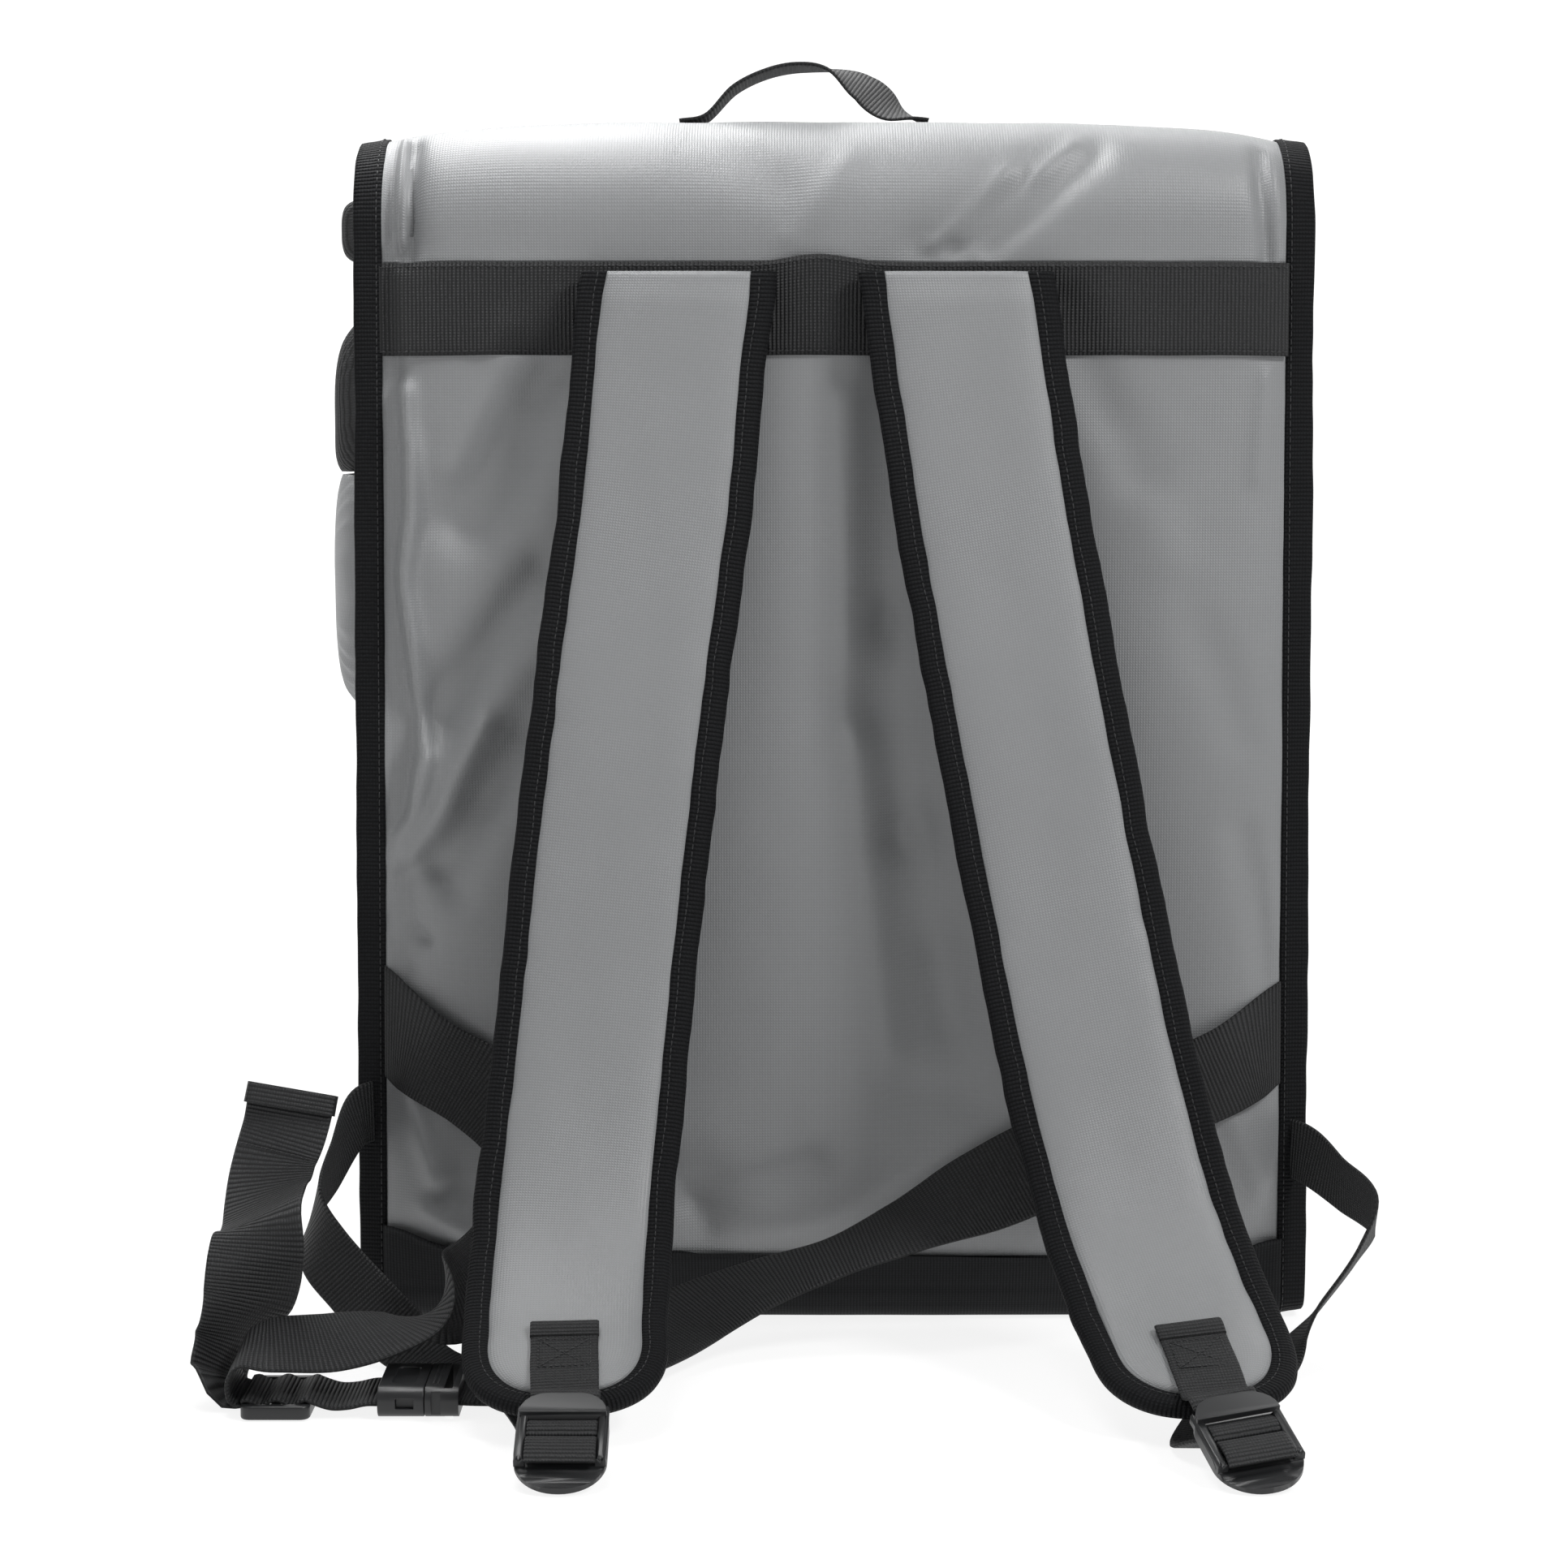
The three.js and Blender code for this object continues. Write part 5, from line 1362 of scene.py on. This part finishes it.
class BACKPACK_OT_ladder_locks(bpy.types.Operator):
    """Plastic locks with a raised top bar, an open window between raised side rails and a rounded tongue"""

    bl_idname = "backpack.ladder_locks"
    bl_label = "Ladder locks"
    bl_options = {"REGISTER", "UNDO"}

    def execute(self, context):
        for name in STRAPS:
            lock = self.lock(context.scene.backpack_hardware)
            lock.name = f"lock_{name}"
            moulded(lock, f"ladder_lock_{name}", 0.45 * MM, place=StrapSurface(name).lock)
        deselect()
        return {"FINISHED"}

    def lock(self, hard):
        w, length, t, rail = hard.lock_width / 2, hard.lock_length, hard.lock_thick / 2, hard.lock_rail
        window_top, window_foot = -WINDOW[0] * length, -WINDOW[1] * length
        tongue_round, top_round, arch_round = 16.6 * MM, 13 * MM, 10.6 * MM
        dish, dish_high, arch_high, rail_high = 21 * MM, 18.2 * MM, 3.6 * MM, 1.8 * MM
        plate = add_box("lock", (-w, -length, -t), (w, 0, t))
        round_edges(plate, "z", tongue_round, 14, lambda middle: middle.y < -length / 2)
        round_edges(plate, "z", top_round, 10, lambda middle: middle.y > -1 * MM)
        window = add_box("window", (-w + rail, window_foot, -1), (w - rail, window_top, 1))
        dish_line = [(x, -0.86 * length, t + dish_high) for x in (-1, 1)]
        cut_with(plate, [window, add_bar("dish", dish, *dish_line, 48)])
        arch = add_box("arch", (-w + 0.8 * MM, window_top, 0), (w - 0.8 * MM, -0.3 * MM, t + arch_high))
        round_edges(arch, "z", arch_round, 10, lambda middle: middle.y > -1 * MM)
        bevel(arch, 4.2 * MM, 8, 60)
        added = [arch]
        for x in (-w + rail * 0.6, w - rail * 0.6):
            low = (x - rail * 0.55, -0.74 * length, 0)
            bar = add_box("rail", low, (x + rail * 0.55, -0.12 * length, t + rail_high))
            round_edges(bar, "y", 1.6 * MM, 5, lambda middle: middle.z > t)
            round_edges(bar, "x", 2.4 * MM, 5, lambda middle: middle.z > t)
            added.append(bar)
        cut_with(plate, added, "UNION")
        return plate


# A lock's window, as shares of its length from its top
WINDOW = (0.24, 0.66)

# The two turns of webbing that show in a lock's window. Each place has the part of the window that
# it is measured from, how far down from there it lies and how high, in millimetres.
FOLDS = [
    [("top", 1.2, -2.2), ("top", 0.9, 0.4), ("top", 2.6, 2.9), ("top", 6, 3.6), ("middle", -1.4, 2.6),
     ("middle", -0.9, -1)],
    [("middle", 0.2, -2), ("middle", 0.4, 1.8), ("middle", 2.4, 4.0), ("foot", -2, 4.9), ("foot", 2.4, 4.5),
     ("foot", 5.2, 3.3)],
]


class BACKPACK_OT_lower_webbing(bpy.types.Operator):
    """Adjusting webbing from the side seams, under the straps' ends and through the locks"""

    bl_idname = "backpack.lower_webbing"
    bl_label = "Lower webbing"
    bl_options = {"REGISTER", "UNDO"}

    def execute(self, context):
        bag, _, webbing, hard = sizes()
        top, foot = (share * hard.lock_length for share in WINDOW)
        parts = {"top": top, "middle": (top + foot) / 2 + 0.5 * MM, "foot": foot}
        narrow = min(webbing.strap, hard.lock_width - 2 * hard.lock_rail - 0.8 * MM)
        under = hard.lock_thick / 2 + webbing.thick / 2 + 0.4 * MM
        for name, seed in (("left", 31), ("right", 33)):
            place = StrapSurface(name).lock
            across = place.to_3x3() @ Vector((1, 0, 0))
            points, widths = on_panel(LOWER[name])
            x, _, z = points[0]
            seam = (x - math.copysign(7 * MM, x), -bag.depth / 2 + 2.5 * MM, z + 1.5 * MM)
            for v, away in ((top, webbing.thick * 2), (foot - hard.lock_rail, 0)):
                points.append(place @ Vector((0, -v, -under - away)))
            route = Route([seam, *points], [(0, 0, 1), *widths, across, across], 1.8 * MM)
            made = [webbing_piece("run", route, webbing.strap, seed, 0.35 * MM)]
            for number, fold in enumerate(FOLDS):
                points = [
                    place @ Vector((0, -parts[part] - down * MM, high * MM)) for part, down, high in fold
                ]
                route = Route(points, [across] * len(points), 0.7 * MM)
                made.append(webbing_piece("fold", route, narrow, 41 + number, 0.25 * MM))
            settle(join(made, f"lower_webbing_{name}_run"), "black_webbing", f"lower_webbing_{name}")
        deselect()
        return {"FINISHED"}


# The hip belt

# The link's webbing on the slider: shares of the slider's width and millimetres over its bars.
# Then its way up to the buckle, as shares of the buckle's thickness.
LINK_WAVES = [
    (0.0, -0.4), (0.07, 0.0), (0.2, -1.4), (0.29, -2.4), (0.4, -0.8), (0.5, 0.1),
    (0.6, -0.8), (0.71, -2.4), (0.8, -1.4), (0.93, 0.0), (1.0, -0.8),
]
LINK_RISE = (0.28, 0.3, 0.42, 0.42)


class BACKPACK_OT_hip_belt(bpy.types.Operator):
    """Hip webbing from both seams, the short link at the buckle and the adjusting tail"""

    bl_idname = "backpack.hip_belt"
    bl_label = "Hip belt"
    bl_options = {"REGISTER", "UNDO"}

    def execute(self, context):
        bag, _, webbing, hard = sizes()
        for name, seed, into in (("left", 51, 1.5 * MM), ("right", 53, -3 * MM)):
            points, widths = on_panel(BELTS[name])
            first, second = np.array(points[:2])
            reach = (bag.width / 2 + 0.8 * MM - abs(first[0])) / abs(first[0] - second[0])
            start, end = first + (first - second) * reach, np.array(points[-1]) + (into, 0, 0)
            route = Route([start, *points[1:], end], [*widths, widths[-1]], 2 * MM)
            belt = webbing_piece(f"hip_webbing_{name}", route, webbing.hip, seed, 0.7 * MM, seam=True)
            settle(belt, "black_webbing", f"hip_belt_{name}")
        self.link(webbing, hard)
        self.tail(webbing)
        deselect()
        return {"FINISHED"}

    def link(self, webbing, hard):
        """The link, with the waves in which the webbing lies on the slider's three bars."""
        slider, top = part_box("belt_slider")
        low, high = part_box("belt_link")
        y = (low[1] + high[1]) / 2
        bar = top[2] + webbing.thick * 0.7
        points = [(slider[0] + (top[0] - slider[0]) * share, y, bar + dip * MM) for share, dip in LINK_WAVES]
        for i, share in enumerate(LINK_RISE):
            x = low[0] + (high[0] + 3 * MM - low[0]) * (i + 1) / 4
            points.append((x, y, hard.lift + hard.buckle_thick * share))
        route = Route(points, [(0, 1, 0)] * len(points), 1 * MM)
        link = webbing_piece("link_webbing", route, webbing.hip * 0.985, 61, 0.2 * MM)
        settle(link, "black_webbing", "belt_link")

    def tail(self, webbing):
        """The tail, with its end folded back on itself and sewn twice."""
        route = Route(*on_panel(BELT_TAIL), 2 * MM)
        tail = webbing_piece("tail", route, webbing.hip, 57, 0.5 * MM)
        middle = route.middle[route.s > route.length - 9.5 * MM]
        points = [*middle[::2], middle[-1] + route.along[-1] * 0.4 * MM]
        fold = Route(points, [route.across[-1]] * len(points), 1 * MM)
        hem = webbing_piece("hem", fold, webbing.hip * 1.04, 59, 0.4 * MM, webbing.thick * 3.3)
        settle(join([tail, hem], "belt_tail_webbing"), "black_webbing", "belt_tail")
        shares = np.linspace(-0.45, 0.45, 16)[:, None] * webbing.hip
        for label, back in (("near", 8 * MM), ("far", 25 * MM)):
            i = np.argmin(np.abs(route.s - (route.length - back)))
            lines = []
            for out in (route.out[i], -route.out[i]):
                path = route.middle[i] + route.across[i] * shares + out * (webbing.thick / 2 + 0.1 * MM)
                lines.append(stitch_row("row", path, [out] * len(path), radius=0.26 * MM))
            settle(join(lines, f"tail_stitches_{label}"), "black_webbing")


BUCKLE_ROUND = 5.2 * MM


class BACKPACK_OT_belt_hardware(bpy.types.Operator):
    """Slider and fastened side-release buckle of the hip belt"""

    bl_idname = "backpack.belt_hardware"
    bl_label = "Belt hardware"
    bl_options = {"REGISTER", "UNDO"}

    def execute(self, context):
        self.slider(context.scene.backpack_hardware.slider_rail)
        self.socket()
        self.plug()
        deselect()
        return {"FINISHED"}

    def slider(self, rail):
        low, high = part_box("belt_slider")
        corner, slot_corner = 4 * MM, 1.4 * MM
        plate = round_edges(add_box("slider", low, high), "z", corner, 8)
        middle = (low[0] + high[0]) / 2
        slot = (high[0] - low[0] - 3 * rail) / 2
        cutters = []
        for start in (middle + rail / 2, middle - rail / 2 - slot):
            near = (start, low[1] + rail, low[2] - 1 * MM)
            far = (start + slot, high[1] - rail, high[2] + 1 * MM)
            cutters.append(round_edges(add_box("slot", near, far), "z", slot_corner, 4))
        cut_with(plate, cutters)
        moulded(plate, "belt_slider", 0.9 * MM, 3)

    def socket(self):
        """The socket, with its two side windows and the sunk panel on its top."""
        low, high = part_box("buckle_socket")
        body = round_edges(add_box("buckle_socket_body", low, high), "x", BUCKLE_ROUND, 10)
        cutters = []
        for y in (low[1], high[1]):
            near, far = moved((high[0], y, low[2]), -11, -3, 4), moved((high[0], y, high[2]), -4, 3, -4)
            cutters.append(add_box("window", near, far))
        panel = add_box("panel", moved((low[0], low[1], high[2]), 5, 9, -0.7), moved(high, -4, -9, 1))
        cutters.append(round_edges(panel, "z", 2.5 * MM, 5))
        cut_with(body, cutters)
        moulded(body, "buckle_socket", 1.1 * MM, 4)

    def plug(self):
        """The plug, with the slot for its webbing, its waist and two ridges."""
        low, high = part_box("buckle_plug")
        body = round_edges(add_box("buckle_plug_body", low, high), "x", BUCKLE_ROUND, 10)
        near, far = moved((high[0], low[1], low[2]), -5.6, 3.2, -1), moved(high, -2.4, -3.2, 1)
        cutters = [add_box("slot", near, far)]
        for y in (low[1], high[1]):
            near, far = moved((low[0], y, low[2]), 2.4, -1.6, -1), moved((low[0], y, high[2]), 6, 1.6, 1)
            cutters.append(add_box("waist", near, far))
        cut_with(body, cutters)
        ridges = []
        for x in (3, 4.8):
            near = moved((low[0], low[1], high[2]), x, 8, -0.3)
            far = moved((low[0], high[1], high[2]), x, -8, -0.3)
            ridges.append(add_bar("ridge", 0.8 * MM, near, far, 10))
        cut_with(body, ridges, "UNION")
        moulded(body, "buckle_plug", 0.8 * MM, 3, 40)


# Steps of a patch that swells out of the side panel. size: share of its outline, out: of its bulge.
PATCH_STEPS = [(1, 0), (1, 0.3), (0.93, 0.62), (0.76, 0.88), (0.45, 1), (0.12, 1.02)]
PATCH_COLUMNS = 120


class BACKPACK_OT_side_pieces(bpy.types.Operator):
    """Side pocket, the flap over its mouth and the rounded tab on the lid's side"""

    bl_idname = "backpack.side_pieces"
    bl_label = "Side pieces"
    bl_options = {"REGISTER", "UNDO"}

    def execute(self, context):
        bag = context.scene.backpack_bag
        pocket = self.patch(
            "side_pocket", bag, "grey tarp",
            extent=(170, 116, 21), base=258, corner=0.5, back=0.06, gather=0.9,
        )
        cut_off(pocket, 362 * MM, 1)
        settle(thicken(pocket, 2 * MM), "grey_tarp", "side_pocket_left")
        flap = self.patch(
            "side_pocket_flap", bag, "black webbing",
            extent=(60, 75, 25), base=357.8, corner=0.6, back=0.06, gather=0.4, sag=0.26,
        )
        cut_off(flap, 362.8 * MM, -1)
        settle(thicken(flap, 2.4 * MM), "black_webbing", "side_flap_left")
        tab = self.patch(
            "side_tab", bag, "black webbing",
            extent=(26, 28, 13.5), base=451.9, corner=0.6, back=0.33, gather=0.2,
        )
        settle(thicken(tab, 1.8 * MM), "black_webbing", "side_tab_left")
        deselect()
        return {"FINISHED"}

    def patch(self, name, bag, material, extent, base, corner, back, gather, sag=0):
        """A sheet that swells between its sewn edges. extent: width, height and bulge, and base: its
        height over the floor, in millimetres. corner: how square it is, back: how far it lies behind
        the middle of the depth, gather: how strong its folds are, sag: how far it hangs."""
        width, height, bulge = (v * MM for v in extent)
        middle = -bag.depth * back
        rings, flat = [], []
        for share, out in smooth_curve(PATCH_STEPS, 7):
            ring = []
            near = gather * MM * math.exp(-((share - 0.95) / 0.12) ** 2) * (out > 0.05)
            for angle in 2 * math.pi * (np.arange(PATCH_COLUMNS) + 0.5) / PATCH_COLUMNS:
                c, s = math.cos(angle), math.sin(angle)
                y = middle + math.copysign(abs(c) ** corner, c) * width / 2 * share
                z = base * MM + height / 2 + math.copysign(abs(s) ** corner, s) * height / 2 * share
                z -= sag * height * (1 - share)
                pucker = near * math.sin(angle * 37 + 3 * ripple(71, angle * 3))
                soft = gather * 1.6 * MM * ripple(73, y * 30, z * 30) * min(out, 1)
                x = half_width(bag, z) + bag.side_pillow + bag.fit + bulge * out + pucker + soft
                ring.append((-x, y, z))
            rings.append(ring)
            flat.append([point[1:] for point in ring])
        sheet = loft(name, rings, flat, material, caps=(False, True))
        point_to(sheet, (-1, 0, 0))
        return sheet


# The stage. Soft lights: name, place, aim, width and height, power
LIGHTS = [
    ("key", (1.35, -1.2, 1.75), (0, -0.1, 0.35), (0.55, 0.45), 30),
    ("fill", (-1.9, -2.2, 0.9), (0, -0.1, 0.25), (1.6, 1.6), 4),
    ("top", (-0.2, -0.02, 1.0), (-0.06, -0.03, 0.45), (0.8, 0.35), 7.2),
    ("backdrop", (0, 2.2, 3.2), (0, 4.2, 0.6), (4.0, 2.0), 170),
]
# The photograph's width and the length of its lens in pixels, and the sensor's width in millimetres
PHOTO_WIDTH, PHOTO_LENS, SENSOR = 1932, 4237, 36
# Where the photograph was taken from: a little over the straps' tops, looking slightly down
CAMERA, CAMERA_AIM = (-0.0208, -1.578, 0.380), (-0.0208, -0.128, 0.232)


class BACKPACK_OT_stage(bpy.types.Operator):
    """Pale floor and backdrop, soft lights and the camera"""

    bl_idname = "backpack.stage"
    bl_label = "Stage"
    bl_options = {"REGISTER", "UNDO"}

    def execute(self, context):
        self.floor()
        self.lights(context.scene)
        self.camera(context.scene)
        deselect()
        return {"FINISHED"}

    def floor(self):
        """A floor that curves up into a backdrop far behind the bag."""
        bend, far, near, wide, tall = 1.4, 3.2, -60.0, 60.0, 9.0
        turns = np.linspace(0, math.pi / 2, 16)
        curve = [(far + bend * math.sin(a), bend * (1 - math.cos(a))) for a in turns]
        profile = [(near, 0.0), *curve, (far + bend, tall)]
        verts = [(x, y, z) for y, z in profile for x in (-wide, wide)]
        faces = [(2 * i, 2 * i + 1, 2 * i + 3, 2 * i + 2) for i in range(len(profile) - 1)]
        floor = new_piece("floor", verts, faces, "pale floor")
        point_to(floor, (0, -1, 1))

    def lights(self, scene):
        world = bpy.data.worlds.new("studio")
        world.use_nodes = True
        sky = world.node_tree.nodes["Background"].inputs
        sky["Color"].default_value = (1, 1, 1, 1)
        sky["Strength"].default_value = 0.33
        scene.world = world
        scene.view_settings.view_transform = "Standard"
        for name, place, aim, extent, power in LIGHTS:
            data = bpy.data.lights.new(name, "AREA")
            data.shape = "RECTANGLE"
            data.size, data.size_y = extent
            data.energy = power
            self.aimed(scene, name, data, place, aim)

    def camera(self, scene):
        data = bpy.data.cameras.new("camera")
        data.sensor_width = SENSOR
        data.lens = SENSOR * PHOTO_LENS / PHOTO_WIDTH
        data.clip_start, data.clip_end = 0.05, 50
        scene.camera = self.aimed(scene, "camera", data, CAMERA, CAMERA_AIM)

    def aimed(self, scene, name, data, place, aim):
        """A light or camera at its place that looks at its aim."""
        made = bpy.data.objects.new(name, data)
        made.location = place
        made.rotation_euler = (Vector(aim) - Vector(place)).to_track_quat("-Z", "Y").to_euler()
        scene.collection.objects.link(made)
        return made


# The add-on's panel and the making of the whole

PIECES = [
    BACKPACK_OT_body, BACKPACK_OT_lid, BACKPACK_OT_seam_tapes, BACKPACK_OT_base_cover,
    BACKPACK_OT_top_band, BACKPACK_OT_handle, BACKPACK_OT_shoulder_straps, BACKPACK_OT_strap_tabs,
    BACKPACK_OT_ladder_locks, BACKPACK_OT_lower_webbing, BACKPACK_OT_hip_belt,
    BACKPACK_OT_belt_hardware, BACKPACK_OT_side_pieces, BACKPACK_OT_stage,
]
GROUPS = {
    "backpack_bag": BagSizes,
    "backpack_strap": StrapSizes,
    "backpack_webbing": WebbingSizes,
    "backpack_hardware": HardwareSizes,
    "backpack_colours": Colours,
}


class BACKPACK_PT_panel(bpy.types.Panel):
    """Lists the sizes, the colours and the operators in the order of making"""

    bl_idname = "BACKPACK_PT_panel"
    bl_label = "Delivery backpack"
    bl_space_type = "VIEW_3D"
    bl_region_type = "UI"
    bl_category = "Backpack"

    def draw(self, context):
        for name, kind in GROUPS.items():
            column = self.layout.column(align=True)
            for label in kind.__annotations__:
                column.prop(getattr(context.scene, name), label)
        for piece in PIECES:
            self.layout.operator(piece.bl_idname)


def register():
    for kind in (*GROUPS.values(), *PIECES, BACKPACK_PT_panel):
        bpy.utils.register_class(kind)
    for name, kind in GROUPS.items():
        setattr(bpy.types.Scene, name, bpy.props.PointerProperty(type=kind))


def unregister():
    for name in GROUPS:
        delattr(bpy.types.Scene, name)
    for kind in reversed((*GROUPS.values(), *PIECES, BACKPACK_PT_panel)):
        bpy.utils.unregister_class(kind)


def main():
    register()
    for piece in PIECES:
        category, name = piece.bl_idname.split(".")
        getattr(getattr(bpy.ops, category), name)()


if __name__ == "__main__":
    main()
